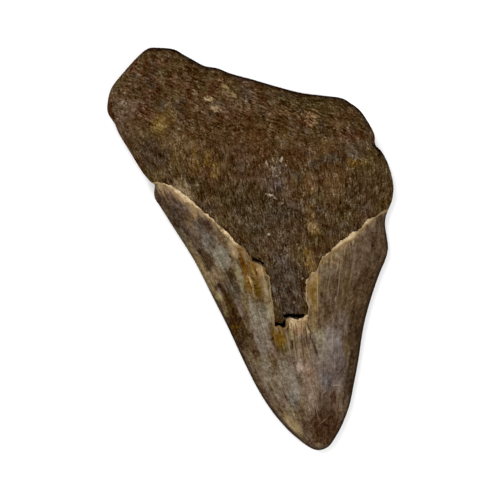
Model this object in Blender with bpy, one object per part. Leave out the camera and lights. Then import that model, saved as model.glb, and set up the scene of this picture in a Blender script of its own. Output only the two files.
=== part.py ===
"""Megalodon tooth: a fossil of one piece, with its root, its bare dentine and its enamel grown together.

The tooth lies on its flat labial face with its lingual face up. +Y runs from the crown's tip to the root, +Z
is up, and the origin is on the surface that it lies on, under the middle of its box. Each face is a sheet over
the tooth's plan, and the two sheets meet along the cutting edges and round the root.
"""

import math
import random

import bmesh
import bpy
import numpy as np
from mathutils import Vector, noise
from mathutils.geometry import delaunay_2d_cdt

MM = 0.001

# The plan, in millimetres from the crown's tip, +X to the right with the lingual face up.
TIP = [(0.0, 0.0), (-2.2, 1.0), (-4.7, 3.6)]
LEFT_BLADE = [
    (-7.5, 7.3), (-10.5, 12.7), (-13.2, 19.6), (-15.6, 28.3), (-17.7, 36.8), (-20.1, 45.3),
    (-23.0, 55.5), (-26.4, 64.4), (-29.1, 71.3), (-30.1, 73.7), (-30.0, 75.4), (-29.3, 77.0),
]  # fmt: skip
LEFT_LOBE = [
    (-30.4, 78.4), (-32.2, 81.7), (-34.1, 86.9), (-36.1, 92.2), (-36.8, 95.3), (-38.0, 98.5),
    (-37.5, 101.4), (-35.8, 104.8), (-32.2, 108.0), (-27.1, 111.8), (-24.2, 113.2), (-21.3, 112.8),
]  # fmt: skip
ROOT_END = [
    (-17.7, 111.7), (-15.4, 109.8), (-12.8, 107.6), (-10.5, 105.8), (-7.2, 104.5), (-3.9, 102.4),
    (1.6, 99.7), (7.0, 96.9), (13.1, 94.0), (18.5, 92.2), (23.3, 90.6),
]  # fmt: skip
RIGHT_LOBE = [
    (25.6, 88.7), (27.6, 86.4), (29.1, 83.0), (30.1, 79.6), (29.9, 76.7), (31.2, 74.6),
    (32.2, 71.3), (32.6, 67.8), (32.5, 64.6), (31.5, 61.5), (30.0, 59.1),
]  # fmt: skip
RIGHT_BLADE = [
    (28.9, 57.1), (28.4, 54.8), (28.3, 51.9), (28.0, 49.0), (26.7, 46.2), (24.6, 43.1), (22.2, 39.0),
    (19.6, 34.1), (17.2, 28.7), (14.7, 21.6), (12.3, 15.6), (10.1, 10.3), (7.3, 5.7), (4.7, 2.5), (2.5, 0.5),
]  # fmt: skip

# The broken margin of the enamel on the lingual face, from the left shoulder to the right one.
LEFT_MARGIN = [
    (-28.7, 77.4), (-26.5, 76.3), (-24.3, 74.9), (-22.5, 73.1), (-20.7, 71.1), (-19.0, 68.9), (-17.1, 66.1),
    (-15.2, 63.3), (-13.4, 60.4), (-11.6, 58.1), (-10.3, 56.9), (-9.0, 55.9), (-8.4, 53.9), (-8.1, 52.7),
    (-7.1, 52.1), (-5.7, 51.3), (-5.3, 50.3), (-5.1, 48.6), (-4.3, 47.8),
]  # fmt: skip
TONGUE_MARGIN = [
    (-4.5, 45.8), (-4.7, 43.4), (-4.8, 40.7), (-5.2, 37.3), (-5.4, 34.8), (-4.4, 34.5), (-3.7, 34.0),
    (-2.6, 33.8), (-2.3, 35.6), (-1.8, 36.3), (-0.1, 36.0), (0.7, 35.2), (2.8, 35.8), (3.7, 36.3),
    (4.0, 38.0), (4.0, 40.1), (4.2, 42.5), (4.8, 45.1),
]  # fmt: skip
RIGHT_MARGIN = [
    (6.6, 46.6), (8.1, 47.0), (8.9, 48.7), (10.4, 50.3), (12.4, 51.3), (13.9, 52.2), (15.4, 53.2),
    (17.7, 54.2), (19.3, 55.0), (20.6, 55.3), (21.9, 55.8), (23.4, 57.1), (24.2, 57.9), (25.7, 57.9),
    (27.3, 58.6), (29.0, 59.2),
]  # fmt: skip
# The deepest line of the recess at the foot of the broken edge, across the tongue's end.
RECESS = [
    (-4.7, 36.2), (-4.1, 35.4), (-3.2, 35.0), (-2.9, 36.4), (-1.7, 37.1), (0.0, 36.9), (1.4, 36.6),
    (3.0, 37.4),
]  # fmt: skip
ROUND_THE_TIP = [(60.0, 61.0), (60.0, -60.0), (-60.0, -60.0), (-60.0, 79.0)]  # closes the enamel's region

# Where the crown's two sides would run to, past its shoulders.
LEFT_BEYOND = (-37.0, 96.0)
RIGHT_BEYOND = (37.0, 75.0)

# Heights, in millimetres.
ENAMEL_THICKNESS = 1.1
ENAMEL_THINNING = 3.0  # how far in from the edges the enamel reaches its full thickness
BREAK_WIDTH = 0.7  # how far the broken edge slopes, in plan
BLADE_EDGE_HEIGHT = 2.4  # of the cutting edges over the surface that the tooth lies on
ROOT_EDGE_HEIGHT = 4.8
CROWN_SWELL = {"factor": 1.28, "power": 0.58, "fullness": 1.9}  # it stands factor * y^power over its edges
CROWN_FOOT = {"y": 47.0, "left": (-3.0, 1.14), "right": (5.0, 0.5), "softness": 6.0}
FOOT_BLEND = (-2.0, 16.0)  # how far below and above its foot the crown gives way to the root
SHOULDERS = (56.0, 82.0)  # y from the thin cutting edges to the thick rim of the root
ROOT_PLATE = 5.0  # height of the root's lobes over their edge
ROOT_BULGE = {"height": 12.0, "middle": (2.0, 68.0), "reach": (21.0, 22.0)}
ROOT_ROUNDING = 6.0  # radius of the root's rim on the lingual face
BLADE_ROUNDING = 0.9
LABIAL_CURVE = {"crown": 9.0, "root": 4.5}  # how far in from the edge the labial face curves up
LABIAL_FLAT = {"middle": (1.0, 62.0), "reach": (16.0, 34.0), "rise": 1.2, "risen_at": 2.2}  # an oval
RECESS_DEPTH = 0.9
RECESS_WIDTH = 0.8
LUMP = {"height": 0.5, "across": 7.0, "along": 10.0}  # soft unevenness of the root
RIDGE = {"height": 0.3, "across": 2.4, "along": 13.0, "lean": 11.0}  # up the root, leaning by degrees
PITS = {"count": 46, "depth": (0.3, 0.6), "radius": (1.3, 2.2), "clear_of_rim": 2.5, "seed": 11}
PITTED_AREA = ((-36.0, 31.0), (62.0, 111.0))
NOTCH_FURROW = {"from": (29.9, 76.7), "to": (22.0, 73.5), "depth": 1.2, "width": 2.2}
SPALL = {"from": (0.5, 35.5), "to": (5.0, 17.0), "depth": 0.35, "width": 2.6}  # where outer enamel is gone

# Spacing of the mesh, in millimetres.
RIM_STEP = 1.6
LINGUAL_STEP = 1.45
LABIAL_STEP = 3.4
RIM_ROWS = (0.35, 1.2, 2.7)
MARGIN_CLEARANCE = 0.55  # that other points keep from the enamel's margin, times the step for the grid
LINE_END_GAP = 0.6  # between the outline and a line's last point
CURVE_SAMPLES = 24
ON_OUTLINE = 0.001

DENTINE_BROWN = (0.075, 0.045, 0.020, 1.0)
DENTINE_ROUGHNESS = 0.6


def mix(a, b, share):
    return a + (b - a) * share


def smoothstep(low, high, value):
    share = np.clip((value - low) / (high - low), 0.0, 1.0)
    return share * share * (3.0 - 2.0 * share)


def closed_spline(points, step):
    """Points every step or so along a smooth closed curve through these points."""
    corners = np.array(points, float)
    curve = []
    for i in range(len(corners)):
        a, b, c, d = (corners[(i + k) % len(corners)] for k in (-1, 0, 1, 2))
        for t in np.linspace(0.0, 1.0, CURVE_SAMPLES, endpoint=False):
            bend = (2 * a - 5 * b + 4 * c - d) * t**2 + (3 * b - a - 3 * c + d) * t**3
            curve.append(b + 0.5 * ((c - a) * t + bend))
    line = np.array([*curve, curve[0]])
    run = np.concatenate([[0.0], np.cumsum(np.linalg.norm(np.diff(line, axis=0), axis=1))])
    at = np.linspace(0.0, run[-1], round(run[-1] / step), endpoint=False)
    return np.column_stack([np.interp(at, run, line[:, k]) for k in (0, 1)])


def distance_to(points, line, closed=False):
    """Each point's distance to a line of straight pieces."""
    ends = np.vstack([line, line[:1]]) if closed else line
    nearest = np.full(len(points), np.inf)
    for a, b in zip(ends[:-1], ends[1:], strict=True):
        along = b - a
        share = np.clip((points - a) @ along / max(along @ along, 1e-12), 0.0, 1.0)
        nearest = np.minimum(nearest, np.linalg.norm(points - a - share[:, None] * along, axis=1))
    return nearest


def inside(points, polygon):
    """Whether each point lies in the polygon."""
    found = np.zeros(len(points), bool)
    x, y = points[:, 0], points[:, 1]
    for (ax, ay), (bx, by) in zip(polygon, np.roll(polygon, -1, axis=0), strict=True):
        crosses = (ay > y) != (by > y)
        if by != ay:
            found ^= crosses & (x < (bx - ax) * (y - ay) / (by - ay) + ax)
    return found


def normals_of(line, closed=False):
    """Unit vectors to the left of a line, at its points."""
    if closed:
        ahead = np.roll(line, -1, axis=0) - np.roll(line, 1, axis=0)
    else:
        ahead = np.gradient(line, axis=0)
    left = np.column_stack([-ahead[:, 1], ahead[:, 0]])
    return left / np.linalg.norm(left, axis=1)[:, None]


OUTLINE = closed_spline(TIP + LEFT_BLADE + LEFT_LOBE + ROOT_END + RIGHT_LOBE + RIGHT_BLADE, RIM_STEP)
MARGIN = np.array(LEFT_MARGIN + TONGUE_MARGIN + RIGHT_MARGIN)
ENAMEL_REGION = np.vstack([MARGIN, ROUND_THE_TIP])


def scattered_pits():
    """(middle, radius, depth) of each pit in the root."""
    chance = random.Random(PITS["seed"])
    found = []
    while len(found) < PITS["count"]:
        middle = np.array([[chance.uniform(*span) for span in PITTED_AREA]])
        radius, depth = chance.uniform(*PITS["radius"]), chance.uniform(*PITS["depth"])
        in_root = inside(middle, OUTLINE)[0]
        clear = distance_to(middle, OUTLINE, closed=True)[0] > PITS["clear_of_rim"]
        apart = [np.linalg.norm(middle[0] - other[0]) > radius + other[1] for other in found]
        if in_root and clear and all(apart):
            found.append((middle[0], radius, depth))
    return found


def rail(stretch, beyond):
    """x of one side of the crown against y, run on past the shoulder to the point beyond."""
    side = np.array(sorted([*stretch, beyond], key=lambda p: p[1]))
    return lambda y: np.interp(y, side[:, 1], side[:, 0])


PIT_PLACES = scattered_pits()
left_rail = rail(TIP + LEFT_BLADE[:8], LEFT_BEYOND)
right_rail = rail(RIGHT_BLADE[1:] + TIP[:1], RIGHT_BEYOND)


def foot_of_crown(x):
    """y where the crown gives way to the root: a soft V that climbs further on the left."""

    def ramp(v):
        return 0.5 * (v + np.sqrt(v * v + CROWN_FOOT["softness"] ** 2))

    (left, left_climb), (right, right_climb) = CROWN_FOOT["left"], CROWN_FOOT["right"]
    return CROWN_FOOT["y"] + left_climb * ramp(left - x) + right_climb * ramp(x - right)


def rounded(distance, radius):
    """Height of a quarter-round edge of this radius, as a share, at a distance in from the edge."""
    left = 1.0 - np.clip(distance / radius, 0.0, 1.0)
    return np.sqrt(np.maximum(0.0, 1.0 - left * left))


def distance_in(points):
    """Each point's distance in from the outline, and exactly nothing on it."""
    to_edge = distance_to(points, OUTLINE, closed=True)
    return np.where(to_edge < ON_OUTLINE, 0.0, to_edge)


def edge_height(points):
    return mix(BLADE_EDGE_HEIGHT, ROOT_EDGE_HEIGHT, smoothstep(*SHOULDERS, points[:, 1]))


def groove(points, stroke):
    """Depth of a soft straight groove that fades out towards its far end."""
    start, run = np.array(stroke["from"]), np.subtract(stroke["to"], stroke["from"])
    share = np.clip((points - start) @ run / (run @ run), 0.0, 1.0)
    off = np.linalg.norm(points - start - share[:, None] * run, axis=1)
    return stroke["depth"] * np.exp(-((off / stroke["width"]) ** 2)) * (1.0 - share)


def unevenness(points, kind, level):
    """Smooth noise of about -1 to 1, stretched along the tooth or along a lean from it."""
    lean = math.radians(kind.get("lean", 0.0))
    x, y = points.T
    across = (x * math.cos(lean) - y * math.sin(lean)) / kind["across"]
    along = (x * math.sin(lean) + y * math.cos(lean)) / kind["along"]
    return np.array([noise.noise(Vector((u, v, level))) for u, v in zip(across, along, strict=True)])


def root_relief(points):
    """The small lumps, ridges and pits of the root's surface."""
    relief = LUMP["height"] * unevenness(points, LUMP, 0.0) + RIDGE["height"] * unevenness(points, RIDGE, 5.0)
    for middle, radius, depth in PIT_PLACES:
        relief -= depth * np.exp(-2.0 * ((points - middle) ** 2).sum(axis=1) / radius**2)
    return relief


def crown_swell(points):
    """The crown's height over its cutting edges, a lens across each section."""
    x, y = points.T
    left, right = left_rail(y), right_rail(y)
    across = (2.0 * x - left - right) / np.maximum(right - left, 0.1)
    share = 1.0 - np.minimum(np.abs(across), 1.0) ** CROWN_SWELL["fullness"]
    return CROWN_SWELL["factor"] * np.maximum(y, 0.0) ** CROWN_SWELL["power"] * share


def root_swell(points):
    """The root's height over its edge: flat lobes with a bulge over the crown's foot."""
    middle, reach = np.array(ROOT_BULGE["middle"]), np.array(ROOT_BULGE["reach"])
    bulge = ROOT_BULGE["height"] * np.exp(-(((points - middle) / reach) ** 2).sum(axis=1))
    return ROOT_PLATE + bulge + root_relief(points) - groove(points, NOTCH_FURROW)


def lingual_height(points):
    """Height of the upper face over the surface that the tooth lies on."""
    to_edge = distance_in(points)
    to_margin = distance_to(points, MARGIN)
    in_enamel = inside(points, ENAMEL_REGION)
    into_enamel = np.where(in_enamel, np.clip(to_margin / BREAK_WIDTH, 0.0, 1.0), 0.0)
    rooted = smoothstep(*FOOT_BLEND, points[:, 1] - foot_of_crown(points[:, 0]))
    crown = crown_swell(points) - groove(points, SPALL) * into_enamel
    recess = RECESS_DEPTH * np.exp(-((distance_to(points, np.array(RECESS)) / RECESS_WIDTH) ** 2))
    bare = (ENAMEL_THICKNESS * rounded(to_edge, ENAMEL_THINNING) + recess) * (1.0 - into_enamel)
    swell = mix(np.maximum(crown - bare, 0.0), root_swell(points), rooted)
    radius = mix(BLADE_ROUNDING, ROOT_ROUNDING, smoothstep(*SHOULDERS, points[:, 1]))
    return edge_height(points) + swell * rounded(to_edge, radius)


def labial_height(points):
    """Height of the under face, which is flat in its middle and curves up to the edges."""
    to_edge = distance_in(points)
    middle, reach = np.array(LABIAL_FLAT["middle"]), np.array(LABIAL_FLAT["reach"])
    out = np.sqrt((((points - middle) / reach) ** 2).sum(axis=1))
    low = LABIAL_FLAT["rise"] * smoothstep(1.0, LABIAL_FLAT["risen_at"], out)
    rooted = smoothstep(*SHOULDERS, points[:, 1])
    blade = 1.0 - (1.0 - np.clip(to_edge / LABIAL_CURVE["crown"], 0.0, 1.0)) ** 2
    share = mix(blade, rounded(to_edge, LABIAL_CURVE["root"]), rooted)
    return mix(edge_height(points), low, share)


def staggered_grid(step):
    """Points of a triangular grid over the outline's box."""
    low, high = OUTLINE.min(axis=0), OUTLINE.max(axis=0)
    rise = step * math.sqrt(3.0) / 2.0
    rows = np.arange(low[1], high[1], rise)
    grid = [
        (x + 0.5 * step * (row % 2), y) for row, y in enumerate(rows) for x in np.arange(low[0], high[0], step)
    ]
    return np.array(grid)


def rim_rows(rows):
    """Points in rows just inside the outline, left out where two stretches of a row would cross."""
    inward = -normals_of(OUTLINE, closed=True)
    nearly_all = 0.96
    found = []
    for offset in rows:
        row = OUTLINE + inward * offset
        clear = distance_to(row, OUTLINE, closed=True) > nearly_all * offset
        found.append(row[clear & inside(row, OUTLINE)])
    return np.vstack(found)


def margin_lines():
    """The foot and the lip of the enamel's broken edge, and the bottom of the recess at its foot."""
    lip = MARGIN - normals_of(MARGIN) * BREAK_WIDTH
    lines = MARGIN, lip, np.array(RECESS)
    return [line[inside(line, OUTLINE) & (distance_in(line) > LINE_END_GAP)] for line in lines]


def plan_of(step, rows, lines):
    """(points, triangles) of the plan: the outline, rows inside it, these lines and a grid between them."""
    points = [*OUTLINE]
    edges = [(i, (i + 1) % len(OUTLINE)) for i in range(len(OUTLINE))]
    for line in lines:
        first = len(points)
        points += [*line]
        edges += [(first + i, first + i + 1) for i in range(len(line) - 1)]
    loose = rim_rows(rows)
    grid = staggered_grid(step)
    clear = inside(grid, OUTLINE) & (distance_to(grid, OUTLINE, closed=True) > rows[-1] + 0.5 * step)
    for line in lines:
        clear &= distance_to(grid, line) > MARGIN_CLEARANCE * step
        loose = loose[distance_to(loose, line) > MARGIN_CLEARANCE]
    points += [*loose, *grid[clear]]
    whole_hull, weld = 0, 1e-5
    made = delaunay_2d_cdt([Vector(p) for p in points], edges, [], whole_hull, weld, False)
    places, triangles = np.array([tuple(v) for v in made[0]]), np.array(made[2])
    return places, triangles[inside(places[triangles].mean(axis=1), OUTLINE)]


def add_sheet(mesh, plan, height, facing_down):
    """One face of the tooth: the plan's triangles lifted to their heights."""
    points, triangles = plan
    places = np.column_stack([points, height(points)])
    places -= [*box_middle(), 0.0]
    made = [mesh.verts.new(place * MM) for place in places]
    for triangle in triangles:
        corners = [made[i] for i in triangle]
        mesh.faces.new(corners[::-1] if facing_down else corners)


def box_middle():
    return (OUTLINE.min(axis=0) + OUTLINE.max(axis=0)) / 2.0


def tooth_material():
    material = bpy.data.materials.new("fossil_tooth")
    material.use_nodes = True
    shader = material.node_tree.nodes["Principled BSDF"]
    shader.inputs["Base Color"].default_value = DENTINE_BROWN
    shader.inputs["Roughness"].default_value = DENTINE_ROUGHNESS
    shader.inputs["Metallic"].default_value = 0.0
    return material


def make_tooth():
    mesh = bmesh.new()
    add_sheet(mesh, plan_of(LINGUAL_STEP, RIM_ROWS, margin_lines()), lingual_height, facing_down=False)
    add_sheet(mesh, plan_of(LABIAL_STEP, RIM_ROWS[1:], []), labial_height, facing_down=True)
    weld_reach = 0.0005 * MM
    bmesh.ops.remove_doubles(mesh, verts=mesh.verts, dist=weld_reach)
    data = bpy.data.meshes.new("tooth")
    mesh.to_mesh(data)
    mesh.free()
    data.shade_smooth()
    data.set_sharp_from_angle(angle=math.radians(40.0))
    tooth = bpy.data.objects.new("tooth", data)
    tooth.data.materials.append(tooth_material())
    return tooth


def main():
    for old in list(bpy.data.objects):
        bpy.data.objects.remove(old)
    fossil = bpy.data.collections.new("megalodon_tooth")
    bpy.context.scene.collection.children.link(fossil)
    fossil.objects.link(make_tooth())


main()
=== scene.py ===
import math
import random

import bpy
import numpy as np
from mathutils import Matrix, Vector, kdtree, noise
from mathutils.geometry import delaunay_2d_cdt


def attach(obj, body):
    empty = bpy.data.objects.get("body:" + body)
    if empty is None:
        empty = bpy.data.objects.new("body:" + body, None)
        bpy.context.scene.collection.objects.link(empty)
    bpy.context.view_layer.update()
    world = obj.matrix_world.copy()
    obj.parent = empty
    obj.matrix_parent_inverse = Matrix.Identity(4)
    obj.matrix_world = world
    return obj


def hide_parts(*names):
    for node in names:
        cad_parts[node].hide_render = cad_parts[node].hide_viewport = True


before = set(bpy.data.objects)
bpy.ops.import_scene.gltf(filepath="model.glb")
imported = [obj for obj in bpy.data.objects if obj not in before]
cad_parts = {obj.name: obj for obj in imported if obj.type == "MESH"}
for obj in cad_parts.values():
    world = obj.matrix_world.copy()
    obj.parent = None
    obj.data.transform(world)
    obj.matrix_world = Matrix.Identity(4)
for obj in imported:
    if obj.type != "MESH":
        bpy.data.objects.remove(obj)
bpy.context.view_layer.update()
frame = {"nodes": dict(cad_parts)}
print("frame loaded:", ", ".join(frame["nodes"]))

mm = 0.001

# steps that several pieces share


def blendOf(a, b, share):
    return a + (b - a) * share


def ease(low, high, value):  # 0 below low, 1 above high, smooth between them
    share = np.clip((value - low) / (high - low), 0.0, 1.0)
    return share * share * (3.0 - 2.0 * share)


def evenly(line, step):  # the line's points, an even step apart
    run = np.concatenate([[0.0], np.cumsum(np.linalg.norm(np.diff(line, axis=0), axis=1))])
    at = np.linspace(0.0, run[-1], round(run[-1] / step) + 1)
    return np.column_stack([np.interp(at, run, line[:, k]) for k in (0, 1)])


def smoothLoop(corners, step):  # a smooth closed curve through the corners
    corners = np.array(corners, float)
    curve = []
    for i in range(len(corners)):
        a, b, c, d = (corners[(i + k) % len(corners)] for k in (-1, 0, 1, 2))
        for t in np.linspace(0.0, 1.0, 24, endpoint=False):
            bend = (2 * a - 5 * b + 4 * c - d) * t**2 + (3 * b - a - 3 * c + d) * t**3
            curve.append(b + 0.5 * ((c - a) * t + bend))
    return evenly(np.array([*curve, curve[0]]), step)[:-1]


def leftOf(line, closed=False):  # unit vectors to the left of a line
    ahead = np.roll(line, -1, axis=0) - np.roll(line, 1, axis=0) if closed else np.gradient(line, axis=0)
    left = np.column_stack([-ahead[:, 1], ahead[:, 0]])
    return left / np.linalg.norm(left, axis=1)[:, None]


def distanceFrom(line, points):  # to the nearest of a line's closely spaced points
    tree = kdtree.KDTree(len(line))
    for i, (x, y) in enumerate(line):
        tree.insert((x, y, 0.0), i)
    tree.balance()
    return np.array([tree.find((x, y, 0.0))[2] for x, y in points])


def isInside(polygon, points):
    found = np.zeros(len(points), bool)
    x, y = points[:, 0], points[:, 1]
    for (ax, ay), (bx, by) in zip(polygon, np.roll(polygon, -1, axis=0), strict=True):
        if by != ay:
            found ^= ((ay > y) != (by > y)) & (x < (bx - ax) * (y - ay) / (by - ay) + ax)
    return found


# the tooth's plan, mm from the crown's tip, +X right with the lingual face up

plan = {
    "tip": [(0.0, 0.0), (-2.2, 1.0), (-4.7, 3.6)],
    "leftBlade": [
        (-7.5, 7.3), (-10.5, 12.7), (-13.2, 19.6), (-15.6, 28.3), (-17.7, 36.8), (-20.1, 45.3),
        (-23.0, 55.5), (-26.4, 64.4), (-29.1, 71.3), (-30.1, 73.7), (-30.1, 75.4), (-29.5, 77.4),
    ],
    "leftLobe": [
        (-30.4, 78.4), (-32.2, 81.7), (-34.1, 86.9), (-36.1, 92.2), (-36.8, 95.3), (-38.0, 98.5),
        (-37.5, 101.4), (-35.8, 104.8), (-32.2, 108.0), (-27.1, 111.8), (-24.2, 113.2), (-21.3, 112.8),
    ],
    "rootEnd": [
        (-17.7, 111.7), (-15.4, 109.8), (-12.8, 107.6), (-10.5, 105.8), (-7.2, 104.5), (-3.9, 102.4),
        (1.6, 99.7), (7.0, 96.9), (13.1, 94.0), (18.5, 92.2), (23.3, 90.6),
    ],
    "rightLobe": [
        (25.6, 88.7), (27.6, 86.4), (29.1, 83.0), (30.1, 79.6), (29.9, 76.7), (31.2, 74.6),
        (32.2, 71.3), (32.6, 67.8), (32.5, 64.6), (31.5, 61.5), (30.0, 59.1),
    ],
    "rightBlade": [
        (28.9, 57.1), (28.4, 54.8), (28.3, 51.9), (28.0, 49.0), (26.7, 46.2), (24.6, 43.1), (22.2, 39.0),
        (19.6, 34.1), (17.2, 28.7), (14.7, 21.6), (12.3, 15.6), (10.1, 10.3), (7.3, 5.7), (4.7, 2.5),
        (2.5, 0.5),
    ],
    "crownPoints": 8,  # of the left blade, before it turns in at the shoulder
    "leftBeyond": (-37.0, 96.0),  # where the crown's sides would run to past the shoulders
    "rightBeyond": (37.0, 75.0),
    "curveStep": 0.1,
    "rimEvery": 3,  # curve points to one rim point
    "coarseEvery": 10,
}
around = ("tip", "leftBlade", "leftLobe", "rootEnd", "rightLobe", "rightBlade")
rimCurve = smoothLoop(sum((plan[stretch] for stretch in around), []), plan["curveStep"])
rimCurve = rimCurve[: len(rimCurve) // plan["rimEvery"] * plan["rimEvery"]]
rimPoints = rimCurve[:: plan["rimEvery"]]
coarseRim = rimCurve[:: plan["coarseEvery"]]
planMiddle = (rimCurve.min(axis=0) + rimCurve.max(axis=0)) / 2.0

# The broken margin of the enamel: its foot on the dentine and, further into the enamel, its lip.
margin = {
    "left": [
        (-29.0, 78.1), (-26.5, 77.1), (-24.8, 76.0), (-23.1, 74.3), (-21.5, 72.6), (-20.0, 70.9),
        (-18.4, 68.6), (-16.9, 66.5), (-15.3, 64.6), (-13.8, 62.4), (-12.6, 60.6), (-11.7, 59.3),
        (-10.5, 57.4), (-9.2, 56.2), (-8.5, 53.9), (-8.1, 52.7), (-7.1, 52.1), (-5.7, 51.3),
        (-5.3, 50.3), (-5.1, 48.6), (-4.3, 47.8),
    ],
    "tongue": [
        (-4.5, 45.8), (-4.7, 43.4), (-4.8, 40.7), (-5.2, 37.3), (-5.4, 34.8), (-4.4, 34.5), (-3.7, 34.0),
        (-2.6, 33.8), (-2.3, 35.6), (-1.8, 36.3), (-0.1, 36.0), (0.7, 35.2), (2.8, 35.8), (3.7, 36.3),
        (4.0, 38.0), (4.0, 40.1), (4.2, 42.5), (4.8, 45.1),
    ],
    "right": [
        (6.6, 46.6), (8.1, 47.0), (8.9, 48.7), (10.4, 50.3), (12.4, 51.3), (13.9, 52.2), (15.4, 53.2),
        (17.7, 54.2), (19.3, 55.0), (20.6, 55.3), (21.9, 55.8), (23.4, 57.1), (24.2, 57.9), (25.7, 57.9),
        (27.3, 58.6), (29.0, 59.2),
    ],
    "recess": [  # a dark gap along the end of the tongue in two runs, and a short one by its left shoulder
        [(-5.2, 35.5), (-4.2, 35.0), (-3.0, 34.6), (-2.7, 35.4)],
        [(-2.3, 36.9), (-1.5, 37.0), (0.3, 36.5), (1.2, 36.2), (2.4, 36.2)],
        [(-7.8, 53.3), (-6.9, 52.8), (-5.8, 52.1), (-5.3, 51.5)],
    ],
    "labial": [  # on the labial face the enamel is whole and ends along a nearly straight line
        (-29.6, 77.3), (-25.0, 74.2), (-18.0, 71.2), (-9.0, 68.4), (0.0, 66.2), (9.0, 64.6),
        (18.0, 62.4), (25.0, 60.4), (30.0, 59.1),
    ],
    # closes the enamel's region
    "roundTheTip": [(60.0, 61.0), (60.0, -60.0), (-60.0, -60.0), (-60.0, 79.0)],
    "step": 0.3,
    "slope": 0.36,  # how far the broken face runs in plan
    "wide": [((-22.0, 73.3), 1.0, 3.6), ((-13.4, 62.0), 0.6, 2.2), ((-11.6, 58.2), 0.6, 1.8),
             ((15.8, 53.2), 0.7, 1.6), ((18.8, 54.6), 1.0, 1.7), ((24.0, 57.7), 0.75, 1.3),
             ((0.8, 35.4), 0.5, 2.5)],  # at, more slope, reach
    "splinters": ((1.15, 0.3), (0.5, 0.22)),  # grain, height
}


def raggedLine(line, level):  # the same line with small splinters
    line = evenly(line, margin["step"])
    jag = np.zeros(len(line))
    for grain, share in margin["splinters"]:
        jag += share * np.array([noise.noise(Vector((x / grain, y / grain, level))) for x, y in line])
    return line + leftOf(line) * jag[:, None]


marginLine = evenly(np.array(margin["left"] + margin["tongue"] + margin["right"]), margin["step"])
breakSlope = np.full(len(marginLine), margin["slope"])
for spot, more, reach in margin["wide"]:
    breakSlope += more * np.exp(-((np.linalg.norm(marginLine - spot, axis=1) / reach) ** 2))
footLine = raggedLine(marginLine, 1.5)
lipLine = raggedLine(marginLine - leftOf(marginLine) * breakSlope[:, None], 4.5)
footRegion = np.vstack([footLine, margin["roundTheTip"]])
lipRegion = np.vstack([lipLine, margin["roundTheTip"]])
recessLines = [evenly(np.array(line), margin["step"]) for line in margin["recess"]]
labialFoot = evenly(np.array(margin["labial"]), margin["step"])
labialRegion = np.vstack([labialFoot, margin["roundTheTip"]])

# heights over the surface that the tooth lies on, mm

form = {
    "enamelThickness": 1.1,
    "enamelThinning": 3.0,
    "bladeEdge": 2.4,
    "rootEdge": 4.8,
    "crownSwell": (1.28, 0.58, 1.9),
    "crownFoot": {"y": 47.0, "left": (-3.0, 1.14), "right": (5.0, 0.5), "softness": 6.0},
    "footBlend": (-2.0, 16.0),
    "shoulders": (56.0, 82.0),
    "rootPlate": 5.0,
    "bulge": {"height": 12.0, "middle": (2.0, 68.0), "reach": (21.0, 22.0)},
    "rootRounding": 6.0,
    "bladeRounding": 0.9,
    "recess": {"depth": 0.9, "widths": (0.6, 0.66, 0.4)},
    "lump": (0.5, 7.0, 10.0, 0.0),  # height, across, along, lean
    "ridge": (0.3, 2.4, 13.0, 11.0),
    "notchFurrow": {"from": (29.9, 76.7), "to": (22.0, 73.5), "depth": 1.2, "width": 2.2},
    "spall": {"from": (0.5, 35.5), "to": (5.0, 17.0), "depth": 0.35, "width": 2.6},
    "labialCurve": {"crown": 9.0, "root": 4.5},
    "labialFlat": {"middle": (1.0, 62.0), "reach": (16.0, 34.0), "rise": 1.2, "risenAt": 2.2},
    "labialStep": 0.25,  # how far the root lies back from the labial enamel
    "labialRuns": (0.3, 2.0),  # how softly that step ends at the enamel's foot and at the rim
    "grain": {"crown": 24.0, "rootMeets": 226.0, "rootReach": 306.0},  # how its lines fan out
    "onRim": 0.001,  # nearer than this is on the rim
}
pits = {"count": 46, "depth": (0.3, 0.6), "radius": (1.3, 2.2), "clear": 2.5, "seed": 11,
        "area": ((-36.0, 31.0), (62.0, 111.0))}


def largePits():
    chance = random.Random(pits["seed"])
    found = []
    while len(found) < pits["count"]:
        spot = np.array([[chance.uniform(*span) for span in pits["area"]]])
        radius, depth = chance.uniform(*pits["radius"]), chance.uniform(*pits["depth"])
        inRoot = isInside(coarseRim, spot)[0]
        clear = distanceFrom(rimCurve, spot)[0] > pits["clear"]
        apart = [np.linalg.norm(spot[0] - other[0]) > radius + other[1] for other in found]
        if inRoot and clear and all(apart):
            found.append((spot[0], radius, depth))
    return found


def sideOfCrown(stretch, beyond):  # x of one side of the crown against y, smooth through the points
    x, y = np.array(sorted([*stretch, beyond], key=lambda p: p[1])).T
    slope = np.gradient(x, y)

    def side(level):
        i = np.clip(np.searchsorted(y, level) - 1, 0, len(y) - 2)
        run = y[i + 1] - y[i]
        share = np.clip((level - y[i]) / run, 0.0, 1.0)
        left = 1.0 - share
        bend = share * left * run * (left * slope[i] - share * slope[i + 1])
        near = left * left * (1.0 + 2.0 * share) * x[i]
        return near + share * share * (3.0 - 2.0 * share) * x[i + 1] + bend

    return side


leftSide = sideOfCrown(plan["tip"] + plan["leftBlade"][: plan["crownPoints"]], plan["leftBeyond"])
rightSide = sideOfCrown(plan["rightBlade"][1:] + plan["tip"][:1], plan["rightBeyond"])


def acrossCrown(points):  # -1 at the left side, 1 at the right
    x, y = points.T
    left, right = leftSide(y), rightSide(y)
    return (2.0 * x - left - right) / np.maximum(right - left, 0.1)


def crownFoot(x):
    foot = form["crownFoot"]

    def ramp(v):
        return 0.5 * (v + np.sqrt(v * v + foot["softness"] ** 2))

    (left, leftRise), (right, rightRise) = foot["left"], foot["right"]
    return foot["y"] + leftRise * ramp(left - x) + rightRise * ramp(x - right)


def rounded(distance, radius):
    left = 1.0 - np.clip(distance / radius, 0.0, 1.0)
    return np.sqrt(np.maximum(0.0, 1.0 - left * left))


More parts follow.
